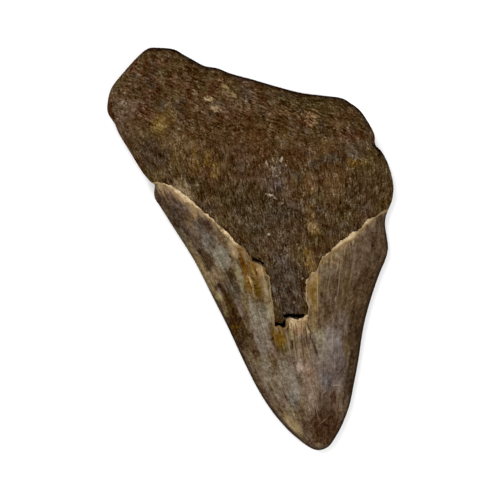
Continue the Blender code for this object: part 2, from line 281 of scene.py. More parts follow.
def unevenness(points, kind, level):
    height, across, along, lean = kind
    turn = math.radians(lean)
    x, y = points.T
    u = (x * math.cos(turn) - y * math.sin(turn)) / across
    v = (x * math.sin(turn) + y * math.cos(turn)) / along
    return height * np.array([noise.noise(Vector((a, b, level))) for a, b in zip(u, v, strict=True)])


def groove(points, stroke):
    start, run = np.array(stroke["from"]), np.subtract(stroke["to"], stroke["from"])
    share = np.clip((points - start) @ run / (run @ run), 0.0, 1.0)
    off = np.linalg.norm(points - start - share[:, None] * run, axis=1)
    return stroke["depth"] * np.exp(-((off / stroke["width"]) ** 2)) * (1.0 - share)


def edgeHeight(points):
    return blendOf(form["bladeEdge"], form["rootEdge"], ease(*form["shoulders"], points[:, 1]))


def flowAcross(points, bare):  # lines of one value run along the grain
    x, y = points.T
    grain = form["grain"]
    inCrown = acrossCrown(points) * grain["crown"]
    inRoot = x / (y + grain["rootMeets"]) * grain["rootReach"]
    return blendOf(inCrown, inRoot, bare)


def fromRim(points):
    toRim = distanceFrom(rimCurve, points)
    toRim[toRim < form["onRim"]] = 0.0
    return toRim


def lingualFace(points):
    toRim = fromRim(points)
    toFoot, toLip = distanceFrom(footLine, points), distanceFrom(lipLine, points)
    pastFoot, pastLip = isInside(footRegion, points), isInside(lipRegion, points)
    intoEnamel = np.where(pastLip, 1.0, np.where(pastFoot, toFoot / np.maximum(toFoot + toLip, 1e-6), 0.0))
    rooted = ease(*form["footBlend"], points[:, 1] - crownFoot(points[:, 0]))

    factor, power, fullness = form["crownSwell"]
    lens = 1.0 - np.minimum(np.abs(acrossCrown(points)), 1.0) ** fullness
    crown = factor * np.maximum(points[:, 1], 0.0) ** power * lens
    crown -= groove(points, form["spall"]) * intoEnamel
    recess = np.zeros(len(points))
    for line, width in zip(recessLines, form["recess"]["widths"], strict=True):
        recess = np.maximum(recess, np.exp(-((distanceFrom(line, points) / width) ** 2)))
    recess *= 1.0 - intoEnamel
    bare = form["enamelThickness"] * rounded(toRim, form["enamelThinning"]) * (1.0 - intoEnamel)
    bare += form["recess"]["depth"] * recess

    bulge = form["bulge"]
    off = (((points - bulge["middle"]) / np.array(bulge["reach"])) ** 2).sum(axis=1)
    root = form["rootPlate"] + bulge["height"] * np.exp(-off)
    root += unevenness(points, form["lump"], 0.0) + unevenness(points, form["ridge"], 5.0)
    root -= groove(points, form["notchFurrow"])
    for spot, radius, pitDepth in largePits():
        root -= pitDepth * np.exp(-2.0 * ((points - spot) ** 2).sum(axis=1) / radius**2)

    swell = blendOf(np.maximum(crown - bare, 0.0), root, rooted)
    radius = blendOf(form["bladeRounding"], form["rootRounding"], ease(*form["shoulders"], points[:, 1]))
    height = edgeHeight(points) + swell * rounded(toRim, radius)
    toMargin = np.where(pastFoot, toFoot, -toFoot)
    return height, {
        "rooted": rooted, "bare": 1.0 - intoEnamel, "toRim": toRim, "toMargin": toMargin, "recess": recess,
        "pastLip": np.where(pastLip, toLip, 0.0),
        "flow": flowAcross(points, 1.0 - intoEnamel), "lingual": np.ones(len(points)),
    }


def labialFace(points):
    toRim = fromRim(points)
    flat = form["labialFlat"]
    out = np.sqrt((((points - flat["middle"]) / np.array(flat["reach"])) ** 2).sum(axis=1))
    low = flat["rise"] * ease(1.0, flat["risenAt"], out)
    rooted = ease(*form["shoulders"], points[:, 1])
    blade = 1.0 - (1.0 - np.clip(toRim / form["labialCurve"]["crown"], 0.0, 1.0)) ** 2
    share = blendOf(blade, rounded(toRim, form["labialCurve"]["root"]), rooted)
    toFoot = distanceFrom(labialFoot, points)
    toMargin = np.where(isInside(labialRegion, points), toFoot, -toFoot)
    atFoot, atRim = form["labialRuns"]
    bare = 1.0 - ease(-atFoot, atFoot, toMargin)
    low = low + form["labialStep"] * bare * ease(0.0, atRim, toRim)
    height = blendOf(edgeHeight(points), low, share)
    return height, {
        "rooted": bare, "bare": bare, "toRim": toRim, "toMargin": toMargin, "recess": np.zeros(len(points)),
        "pastLip": np.maximum(toMargin, 0.0),
        "flow": flowAcross(points, bare), "lingual": np.zeros(len(points)),
    }


# the two faces as one fine mesh

sheets = {  # mm, and shares of a step
    "lingualStep": 0.3,
    "labialStep": 0.52,
    "rows": (0.05, 0.16, 0.34, 0.58),  # rows of points inside the rim
    "rowShare": 0.96,  # of a row's distance that its points keep from the rim
    "gridClear": 0.6,
    "lineClear": 0.6,
    "lineFromRim": 0.15,
}


def planOf(step, lines):  # the rim, rows inside it, the lines and an even grid between them
    points = [*rimPoints]
    edges = [(i, (i + 1) % len(points)) for i in range(len(points))]
    for line in lines:
        line = line[isInside(coarseRim, line) & (distanceFrom(rimCurve, line) > sheets["lineFromRim"])]
        edges += [(len(points) + i, len(points) + i + 1) for i in range(len(line) - 1)]
        points += [*line]
    low, high = rimCurve.min(axis=0), rimCurve.max(axis=0)
    rows = np.arange(low[1], high[1], step * math.sqrt(3.0) / 2.0)
    across = np.arange(low[0], high[0], step)
    grid = np.vstack([np.column_stack([across + 0.5 * step * (i % 2), np.full(len(across), y)])
                      for i, y in enumerate(rows)])
    grid = grid[isInside(coarseRim, grid)]
    loose = [grid[distanceFrom(rimCurve, grid) > sheets["rows"][-1] + sheets["gridClear"] * step]]
    inward = -leftOf(rimCurve, closed=True)[:: plan["rimEvery"]]
    for offset in sheets["rows"]:
        row = rimPoints + inward * offset
        loose.append(row[distanceFrom(rimCurve, row) > sheets["rowShare"] * offset])
    loose = np.vstack(loose)
    for line in lines:
        loose = loose[distanceFrom(line, loose) > sheets["lineClear"] * margin["step"]]
    points += [*loose]
    made = delaunay_2d_cdt([Vector(p) for p in points], edges, [], 0, 1e-5, False)
    places, triangles = np.array([tuple(v) for v in made[0]]), np.array(made[2])
    return places, triangles[isInside(rimPoints, places[triangles].mean(axis=1))]


def finishOf(middles, lingual):  # 0 root and dentine, 1 enamel, 2 the enamel's broken face
    if not lingual:
        return isInside(labialRegion, middles).astype(int)
    return np.where(isInside(lipRegion, middles), 1, np.where(isInside(footRegion, middles), 2, 0))


def fineTooth():
    places, triangles, finishes, masks = [], [], [], []
    count = 0
    faces = [(sheets["lingualStep"], [footLine, lipLine], lingualFace, True),
             (sheets["labialStep"], [labialFoot], labialFace, False)]
    for step, lines, heightOf, lingual in faces:
        points, corners = planOf(step, lines)
        height, sheetMasks = heightOf(points)
        places.append(np.column_stack([points - planMiddle, height]) * mm)
        finishes.append(finishOf(points[corners].mean(axis=1), lingual))
        triangles.append((corners if lingual else corners[:, ::-1]) + count)
        masks.append(sheetMasks)
        count += len(points)
    mesh = bpy.data.meshes.new("toothSurface")
    mesh.from_pydata(np.vstack(places), [], np.vstack(triangles))
    for name in masks[0]:
        values = np.concatenate([m[name] for m in masks]).astype(np.float32)
        mesh.attributes.new(name, "FLOAT", "POINT").data.foreach_set("value", values)
    finishes = np.concatenate(finishes).astype(np.int32)
    mesh.attributes.new("finish", "INT", "FACE").data.foreach_set("value", finishes)
    mesh.shade_smooth()
    piece = bpy.data.objects.new("toothSurface", mesh)
    bpy.context.scene.collection.objects.link(piece)
    return piece


toothSurface = fineTooth()
print("fine mesh:", len(toothSurface.data.polygons), "triangles")

# node trees


class Wire:  # a socket that takes part in sums
    def __init__(self, graph, socket):
        self.graph = graph
        self.socket = socket

    def __add__(self, other):
        return self.graph.maths("ADD", self, other)

    def __sub__(self, other):
        return self.graph.maths("SUBTRACT", self, other)

    def __rsub__(self, other):
        return self.graph.maths("SUBTRACT", other, self)

    def __mul__(self, other):
        return self.graph.maths("MULTIPLY", self, other)

    def __truediv__(self, other):
        return self.graph.maths("DIVIDE", self, other)

    __radd__ = __add__
    __rmul__ = __mul__

    def eased(self, low, high, start=0.0, end=1.0):
        settings = {"interpolation_type": "SMOOTHSTEP"}
        return self.graph.add("ShaderNodeMapRange", settings, {0: self, 1: low, 2: high, 3: start, 4: end})


class Graph:  # a node tree while it is built
    def __init__(self, tree):
        self.tree = tree

    def add(self, kind, settings=None, inputs=None, out=0):
        node = self.tree.nodes.new(kind)
        for name, value in (settings or {}).items():
            setattr(node, name, value)
        for key, value in (inputs or {}).items():
            if isinstance(value, Wire):
                self.tree.links.new(value.socket, node.inputs[key])
            else:
                node.inputs[key].default_value = value
        return Wire(self, node.outputs[out]) if len(node.outputs) else node

    def maths(self, operation, *values):
        return self.add("ShaderNodeMath", {"operation": operation}, dict(enumerate(values)))

    def vector(self, operation, *values):
        return self.add("ShaderNodeVectorMath", {"operation": operation}, dict(enumerate(values)))

    def scaled(self, value, factor):  # a colour or vector times a number
        return self.add("ShaderNodeVectorMath", {"operation": "SCALE"}, {0: value, 3: factor})

    def mixed(self, factor, a, b):
        settings = {"data_type": "RGBA", "clamp_factor": True}
        return self.add("ShaderNodeMix", settings, {0: factor, 6: a, 7: b}, out=2)

    def lifted(self, colour, amount):  # lighter or darker by one step that looks the same in every channel
        seen = self.add("ShaderNodeGamma", None, {0: colour, 1: 1.0 / 2.2})
        room = self.vector("MINIMUM", self.scaled(seen, 12.0), (1.0, 1.0, 1.0))
        moved = self.vector("ADD", seen, self.vector("MULTIPLY", room, amount))
        moved = self.vector("MAXIMUM", moved, (0.0, 0.0, 0.0))
        return self.add("ShaderNodeGamma", None, {0: moved, 1: 2.2})

    def joined(self, x, y, z=0.0):
        return self.add("ShaderNodeCombineXYZ", None, {0: x, 1: y, 2: z})

    def parts(self, value):
        node = self.add("ShaderNodeSeparateXYZ", None, {0: value}).socket.node
        return [Wire(self, output) for output in node.outputs]

    def second(self, wire):  # the second output of the node that a wire comes from
        return Wire(self, wire.socket.node.outputs[1])

    def noise(self, where, grain, detail=2.0, rough=0.5, out=0):  # grain is the size of its lumps
        inputs = {"Vector": where, "Scale": 1.0 / grain, "Detail": detail, "Roughness": rough}
        return self.add("ShaderNodeTexNoise", None, inputs, out)


# relief, made by Geometry Nodes

relief = {  # mm, but for the pits' cover, which is a share, and the seed
    "Pit Size": 0.95,
    "Pit Depth": 0.16,
    "Pit Cover": 0.62,
    "Net Size": 1.3,
    "Net Height": 0.09,
    "Stria Width": 0.62,
    "Stria Length": 7.0,
    "Stria Height": 0.11,
    "Enamel Streak": 0.012,
    "Enamel Wave": 0.05,
    "Broken Grain": 0.10,
    "Crack Depth": 0.05,
    "Seed": 7.0,
}


def reliefTree(finishMaterials):
    tree = bpy.data.node_groups.new("toothRelief", "GeometryNodeTree")
    tree.interface.new_socket("Geometry", in_out="INPUT", socket_type="NodeSocketGeometry")
    for name in relief:
        tree.interface.new_socket(name, in_out="INPUT", socket_type="NodeSocketFloat")
    tree.interface.new_socket("Geometry", in_out="OUTPUT", socket_type="NodeSocketGeometry")
    g = Graph(tree)
    entry = tree.nodes.new("NodeGroupInput")
    ask = {socket.name: Wire(g, socket) for socket in entry.outputs if socket.name}

    def stored(name):
        return g.add("GeometryNodeInputNamedAttribute", {"data_type": "FLOAT"}, {"Name": name})

    names = ("bare", "rooted", "flow", "toRim", "lingual")
    bare, rooted, flow, toRim, lingual = (stored(name) for name in names)
    place = g.scaled(g.add("GeometryNodeInputPosition"), 1.0 / mm)
    along = g.parts(place)[1]
    seeded = g.vector("ADD", place, g.joined(ask["Seed"] * 13.0, ask["Seed"] * 7.0, lingual * 40.0))
    shaken = g.vector("ADD", seeded, g.scaled(g.noise(seeded, 0.8, out=1), 0.7))

    # pits, thinning out towards the crown
    cellSpot = g.vector("DIVIDE", shaken, g.joined(*[ask["Pit Size"]] * 3))
    cell = g.add("ShaderNodeTexVoronoi", None, {"Vector": cellSpot, "Scale": 1.0})
    chosen = g.parts(g.second(cell))[0]
    kept = g.maths("LESS_THAN", chosen, ask["Pit Cover"] * (rooted * 0.7 + 0.3))
    pit = (1.0 - cell.eased(0.12, 0.5)) * kept

    # a net of low walls between the pits
    netNoise = g.add("ShaderNodeTexNoise", None, {
        "Vector": shaken, "Scale": g.maths("DIVIDE", 1.0, ask["Net Size"]), "Detail": 3.0})
    net = 1.0 - g.maths("ABSOLUTE", netNoise - 0.5) * 5.0
    net = g.maths("MAXIMUM", net, 0.0)

    # fine ridges along the grain
    bend = (g.noise(seeded, 5.0) - 0.5) * 1.6
    grainSpot = g.joined((flow + bend) / ask["Stria Width"], along / ask["Stria Length"], lingual * 9.0)
    stria = g.noise(grainSpot, 1.0, 2.5) - 0.5

    boneHeight = net * ask["Net Height"] * (rooted * 0.8 + 0.2) - pit * ask["Pit Depth"]
    boneHeight = boneHeight + stria * ask["Stria Height"] * 2.0

    # satin enamel, cracked on the labial face only, and the rough broken face
    streak = g.noise(g.joined(flow / 0.45, along / 9.0, lingual * 5.0), 1.0) - 0.5
    wave = g.noise(seeded, 4.5, detail=1.0) - 0.5
    enamelHeight = streak * ask["Enamel Streak"] * 2.0 + wave * ask["Enamel Wave"] * 2.0
    crackNoise = g.noise(g.joined(flow / 2.6 + 20.0, along / 16.0, 4.0), 1.0, 2.0, 0.4)
    crack = (1.0 - g.maths("ABSOLUTE", crackNoise - 0.5) * 45.0).eased(0.0, 1.0) * (1.0 - lingual)
    enamelHeight = enamelHeight - crack * ask["Crack Depth"]
    broken = g.noise(g.joined(flow / 0.35, along / 1.4, 3.0), 1.0, detail=3.0) - 0.5
    onBreak = bare * (1.0 - bare) * 4.0
    height = boneHeight * bare + enamelHeight * (1.0 - bare)
    height = height + broken * onBreak * ask["Broken Grain"] * 2.0
    inward = toRim.eased(0.0, 0.8)
    height = height * (inward + (1.0 - inward) * bare * 0.35)

    # the two faces are welded at the rim, and nothing goes below the table
    inputs = {"Geometry": ask["Geometry"], "Distance": 0.002 * mm}
    welded = g.add("GeometryNodeMergeByDistance", None, inputs)
    offset = g.scaled(g.add("GeometryNodeInputNormal"), height * mm)
    moved = g.add("GeometryNodeSetPosition", None, {"Geometry": welded, "Offset": offset})
    x, y, z = g.parts(g.add("GeometryNodeInputPosition"))
    onTable = g.joined(x, y, g.maths("MAXIMUM", z, 0.0))
    result = g.add("GeometryNodeSetPosition", None, {"Geometry": moved, "Position": onTable})
    for name, value in (("pit", pit), ("stria", stria), ("crack", crack)):
        settings = {"data_type": "FLOAT", "domain": "POINT"}
        inputs = {"Geometry": result, "Name": name, "Value": value}
        result = g.add("GeometryNodeStoreNamedAttribute", settings, inputs)
    result = g.add("GeometryNodeRealizeInstances", None, {"Geometry": result})
    finish = g.add("GeometryNodeInputNamedAttribute", {"data_type": "INT"}, {"Name": "finish"})
    for index, material in enumerate(finishMaterials):
        chosenFaces = g.maths("COMPARE", finish, float(index), 0.5)
        inputs = {"Geometry": result, "Selection": chosenFaces, "Material": material}
        result = g.add("GeometryNodeSetMaterial", None, inputs)
    leave = tree.nodes.new("NodeGroupOutput")
    tree.links.new(result.socket, leave.inputs[0])
    return tree


# finishes

light = {"level": 1.70, "shine": 0.004}  # how strongly the stage lights a shade


def tone(red, green, blue):  # a colour as it looks in even light, 0 to 255
    def linear(value):
        share = value / 255.0
        bright = share / 12.92 if share <= 0.04045 else ((share + 0.055) / 1.055) ** 2.4
        return max(bright - light["shine"], 0.0) / light["level"]

    return (linear(red), linear(green), linear(blue), 1.0)


def ovalGroup():  # 1 in the middle of a soft oval, 0 outside it
    group = bpy.data.node_groups.new("softOval", "ShaderNodeTree")
    for name, kind in (("Place", "Vector"), ("Middle", "Vector"), ("Reach", "Vector"), ("Turn", "Float")):
        group.interface.new_socket(name, in_out="INPUT", socket_type="NodeSocket" + kind)
    group.interface.new_socket("Mask", in_out="OUTPUT", socket_type="NodeSocketFloat")
    g = Graph(group)
    entry = group.nodes.new("NodeGroupInput")
    place, middle, reach, turn = (Wire(g, entry.outputs[k]) for k in range(4))
    off = g.vector("SUBTRACT", place, middle)
    inputs = {"Vector": off, "Axis": (0.0, 0.0, 1.0), "Angle": turn}
    turned = g.add("ShaderNodeVectorRotate", {"rotation_type": "AXIS_ANGLE"}, inputs)
    flat = g.vector("MULTIPLY", turned, (1.0, 1.0, 0.0))
    inputs = {0: g.vector("DIVIDE", flat, reach)}
    out = g.add("ShaderNodeVectorMath", {"operation": "LENGTH"}, inputs, out=1)
    leave = group.nodes.new("NodeGroupOutput")
    group.links.new(out.eased(0.6, 1.3, 1.0, 0.0).socket, leave.inputs[0])
    return group


softOval = ovalGroup()


def freshMaterial(name):
    material = bpy.data.materials.new(name)
    material.use_nodes = True
    material.node_tree.nodes.clear()
    return material, Graph(material.node_tree)


def readings(g, sway, ragged):  # what every finish reads from the surface
    def stored(name):
        return g.add("ShaderNodeAttribute", {"attribute_name": name}, None, out=2)

    coords = g.add("ShaderNodeTexCoord", None, None, out=3)
    place = g.vector("ADD", g.scaled(coords, 1.0 / mm), (planMiddle[0], planMiddle[1], 0.0))
    names = ("bare", "rooted", "flow", "toRim", "toMargin", "pastLip",
             "recess", "lingual", "pit", "stria", "crack")
    read = {name: stored(name) for name in names}
    read["place"] = place
    read["right"], read["along"], read["up"] = g.parts(place)
    grain = g.joined(read["flow"] / 0.5, read["along"] / 7.0, read["up"] / 2.0)
    read["streaks"] = g.noise(grain, 1.0, 4.0, 0.6)
    centre = (0.5, 0.5, 0.5)
    wide = g.scaled(g.vector("SUBTRACT", g.noise(place, 2.6, 3.0, 0.6, out=1), centre), sway)
    torn = g.joined(0.0, (read["streaks"] - 0.5) * ragged)
    read["shaken"] = g.vector("ADD", place, g.vector("ADD", wide, torn))
    return read


def oval(g, place, at, reach, turn):
    inputs = {"Place": place, "Middle": (*at, 0.0), "Reach": (*reach, 1.0), "Turn": math.radians(-turn)}
    return g.add("ShaderNodeGroup", {"node_tree": softOval}, inputs)


def patched(g, colour, place, share, patches):  # lays each named patch over the colour
    for at, reach, turn, shade, strength in patches.values():
        colour = g.mixed(oval(g, place, at, reach, turn) * share * strength, colour, tone(*shade))
    return colour


def finished(g, colour, roughness, height, depth, specular):
    bump = g.add("ShaderNodeBump", None, {"Strength": 1.0, "Distance": depth * mm, "Height": height})
    inputs = {"Base Color": colour, "Roughness": roughness, "Normal": bump, "Specular IOR Level": specular}
    shader = g.add("ShaderNodeBsdfPrincipled", None, inputs)
    g.add("ShaderNodeOutputMaterial", None, {"Surface": shader})


stainsAndShadeOnRoot = {  # middle, reach, turn, shade, strength; the dark marks at the right notch and in the cleft by the left notch are painted shade
    "endGrey": ((-32.8, 98.8), (3.0, 3.0), 10, (106, 88, 69), 0.7),
    "paleEnd": ((-35.4, 93.8), (1.8, 4.2), 12, (102, 81, 63), 0.75),
    "tanLeftRim": ((-32.6, 92.6), (2.2, 4.4), 14, (101, 79, 55), 0.7),
    "tanRimHigh": ((-34.4, 102.6), (1.6, 3.0), -34, (100, 78, 56), 0.55),
    "darkEnd": ((-20.2, 110.4), (4.6, 1.8), -10, (60, 44, 22), 0.7),
    "umberEnd": ((-30.6, 104.8), (2.2, 1.8), 30, (80, 60, 38), 0.5),
    "ochreLeft": ((-25.3, 92.4), (2.2, 2.9), -20, (116, 88, 36), 0.75),
    "ochreLeftUp": ((-22.0, 94.8), (2.8, 2.4), 30, (106, 82, 44), 0.6),
    "oliveLeftWide": ((-22.0, 84.0), (7.0, 9.0), -10, (86, 66, 36), 0.5),
    "darkLeft": ((-26.6, 86.0), (3.2, 4.6), -12, (58, 47, 37), 0.7),
    "greyLeftRim": ((-30.4, 84.6), (1.4, 3.4), 18, (80, 66, 50), 0.65),
    "darkByLip": ((-18.6, 75.2), (3.0, 2.6), -34, (61, 48, 27), 0.7),
    "tanByNotch": ((-27.6, 79.4), (2.4, 1.2), -30, (122, 102, 70), 0.65),
    # painted shade in the cleft under the break by the left notch
    "cleftShadeByNotch": ((-26.2, 77.7), (1.5, 0.35), -20, (44, 34, 22), 0.8),
    "tanLeft": ((-21.3, 85.2), (2.6, 3.8), -14, (102, 80, 48), 0.6),
    "tanLeftLow": ((-24.6, 88.6), (2.2, 2.2), 0, (106, 81, 48), 0.6),
    "ochreMiddle": ((-17.4, 81.4), (1.5, 3.6), -10, (108, 82, 44), 0.65),
    "ochreStreak": ((-13.8, 81.4), (1.1, 2.2), -8, (122, 95, 44), 0.7),
    "paleBandMid": ((-13.2, 82.4), (1.8, 2.0), 0, (104, 80, 46), 0.5),
    "ochreStreakLow": ((-13.0, 77.6), (1.1, 2.0), -8, (118, 92, 44), 0.65),
    "ochreUpper": ((-17.6, 86.6), (1.4, 2.6), -10, (98, 78, 42), 0.5),
    "umberUpper": ((-17.4, 91.4), (2.6, 2.6), 0, (68, 47, 26), 0.6),
    "greyTop": ((-1.6, 99.0), (3.6, 1.5), -68, (74, 60, 46), 0.45),
    "redWide": ((-4.0, 87.0), (12.0, 5.0), -14, (70, 45, 24), 0.75),
    "redLow": ((-5.5, 79.6), (4.4, 4.2), 0, (72, 51, 34), 0.5),
    "darkTop": ((-11.6, 104.4), (4.8, 1.8), -28, (55, 39, 18), 0.7),
    "brownTop": ((-13.4, 101.4), (2.4, 2.0), -30, (60, 42, 21), 0.6),
    "umberTopLeft": ((-13.3, 99.5), (1.9, 1.4), -30, (58, 40, 18), 0.55),
    "brownEndTop": ((-16.4, 106.6), (3.0, 2.4), -30, (62, 44, 22), 0.55),
    "oliveTop": ((15.5, 90.4), (10.5, 2.8), -20, (55, 45, 20), 0.7),
    "tanBelowTop": ((-3.0, 93.4), (2.6, 1.9), -40, (102, 78, 54), 0.65),
    "mauveTop": ((-6.4, 92.4), (2.6, 2.0), -30, (94, 70, 54), 0.6),
    "tanTopStain": ((-9.6, 96.2), (4.0, 1.8), 28, (104, 80, 54), 0.5),
    "darkMiddle": ((-11.0, 87.2), (3.8, 2.8), 0, (58, 38, 18), 0.9),
    "darkUpper": ((1.4, 87.8), (2.6, 2.4), 0, (64, 45, 22), 0.7),
    "brownRightTop": ((9.2, 88.0), (3.0, 2.8), 0, (60, 40, 18), 0.8),
    "redCentre": ((-1.0, 84.0), (2.6, 1.6), 0, (92, 64, 40), 0.6),
    "paleCentre": ((0.2, 75.0), (2.6, 3.2), 0, (92, 72, 55), 0.45),
    "paleLow": ((3.7, 68.8), (1.8, 2.2), 0, (98, 78, 62), 0.6),
    "oliveRight": ((6.4, 82.5), (3.4, 1.3), -80, (92, 72, 32), 0.45),
    "greyRight": ((23.6, 76.7), (3.4, 2.2), -10, (78, 68, 54), 0.45),
    "ochreRight": ((23.0, 73.0), (1.6, 1.5), 10, (124, 92, 40), 0.75),
    "yellowRight": ((25.5, 72.7), (1.4, 1.7), 20, (104, 84, 44), 0.65),
    "tanRight": ((16.6, 68.6), (2.6, 4.4), -10, (112, 84, 50), 0.55),
    "tanRightHigh": ((16.4, 78.8), (2.2, 2.4), 0, (104, 79, 46), 0.6),
    "darkRightTop": ((20.4, 83.0), (3.2, 2.6), -20, (62, 44, 21), 0.75),
    "tanRightMid": ((20.4, 69.6), (2.2, 2.4), 0, (96, 72, 42), 0.6),
    "brownLow": ((20.7, 63.4), (3.2, 3.0), 0, (63, 44, 21), 0.8),
    "tanInner": ((10.2, 69.2), (1.6, 3.0), -10, (118, 88, 54), 0.55),
    "tanMidRight": ((9.2, 62.8), (1.6, 2.4), 0, (108, 81, 48), 0.7),
    # painted shade where the lobe turns away beside the right notch
    "notchShade": ((30.6, 75.4), (1.0, 3.0), 12, (30, 19, 9), 0.95),
    "paleRightRim": ((31.4, 69.4), (1.2, 4.0), 8, (80, 64, 38), 0.6),
    "ochreRightFoot": ((28.6, 60.8), (1.8, 2.4), -20, (94, 72, 40), 0.75),
    "mauve": ((1.9, 71.2), (2.2, 3.0), 0, (62, 50, 48), 0.7),
    "greyCentre": ((-4.6, 66.4), (6.6, 8.0), 10, (60, 49, 35), 0.55),
    "brownSlope": ((-10.8, 71.4), (5.4, 3.2), -34, (59, 45, 27), 0.6),
    "darkCentre": ((3.0, 63.8), (5.6, 2.6), 0, (60, 50, 42), 0.6),
    "khakiLowCentre": ((0.0, 58.0), (6.4, 2.6), 0, (88, 71, 53), 0.5),
    "ridgeLine": ((-10.7, 70.0), (0.45, 3.8), -7, (108, 98, 66), 0.6),
    "darkTongue": ((-0.6, 44.0), (4.2, 10.0), 0, (61, 51, 43), 0.85),
    "tanFlameHigh": ((9.3, 58.3), (1.4, 2.3), 8, (138, 109, 66), 0.75),
    "ochreFlame": ((7.0, 50.6), (1.1, 3.0), 12, (120, 90, 42), 0.85),
    "flameFoot": ((6.1, 47.8), (0.8, 1.6), 12, (124, 92, 44), 0.85),
}
rootBack = {  # on the labial face
    "backPale": ((-28.0, 101.0), (6.0, 6.0), 0, (100, 84, 66), 0.6),
    "backOchre": ((11.0, 79.0), (5.0, 4.0), 20, (110, 84, 44), 0.55),
    "backDark": ((-6.0, 90.0), (11.0, 5.0), -20, (56, 43, 32), 0.6),
    "backRim": ((24.0, 68.0), (4.0, 7.0), 0, (66, 50, 34), 0.5),
    "backTan": ((-20.0, 80.0), (5.0, 3.4), -20, (104, 82, 54), 0.5),
}
rootThreads = {  # pale threads between the pores
    "endFleck": ((-28.8, 98.2), (0.9, 1.1), 20, (150, 122, 104), 0.7),
    "specksTop": ((-17.7, 109.0), (0.6, 0.6), 0, (150, 132, 106), 0.8),
    "specksMiddle": ((-15.7, 103.7), (0.7, 0.6), 20, (132, 122, 102), 0.7),
    "tanTopLow": ((-7.6, 100.4), (1.5, 0.45), -40, (140, 118, 82), 0.7),
    "pinkDash": ((-14.1, 98.9), (0.6, 0.3), -30, (160, 128, 108), 0.8),
    "paleDash": ((-17.4, 98.6), (0.9, 0.26), -30, (146, 124, 98), 0.8),
    "pinkThread": ((-5.3, 84.7), (0.35, 1.7), 10, (156, 122, 106), 0.8),
    "threadEnd": ((0.3, 93.6), (1.1, 0.4), -40, (134, 108, 88), 0.75),
    "tanNet": ((14.5, 86.8), (2.0, 2.4), 10, (168, 132, 92), 0.85),
    "threadsMiddle": ((-8.0, 87.0), (6.0, 4.0), 20, (122, 98, 72), 0.35),
    "dustOnFoot": ((-21.3, 75.4), (1.0, 1.6), 0, (170, 148, 112), 0.7),
    "dustAbove": ((-24.6, 77.0), (2.6, 0.6), -30, (134, 114, 82), 0.5),
    "dustLow": ((-15.8, 66.2), (5.4, 0.5), -58, (146, 122, 88), 0.5),
    "threadsRight": ((7.0, 86.0), (7.0, 3.6), -70, (118, 94, 66), 0.3),
}
rootClumps = {  # threads grown together
    "clumpTop": ((-6.4, 99.0), (1.3, 0.7), -20, (160, 136, 92), 0.85),
    "clumpTopLow": ((-4.7, 96.6), (1.1, 0.6), -50, (156, 132, 92), 0.8),
    "clumpTopMid": ((-5.9, 97.6), (0.5, 0.5), 0, (150, 124, 84), 0.7),
    "clumpHook": ((-11.0, 96.8), (1.2, 0.9), -20, (188, 162, 122), 0.95),
    "clumpHookLow": ((-9.9, 93.8), (1.6, 0.8), -20, (168, 142, 108), 0.85),
    "clumpNet": ((14.2, 87.6), (0.5, 1.2), 20, (172, 136, 96), 0.8),
}
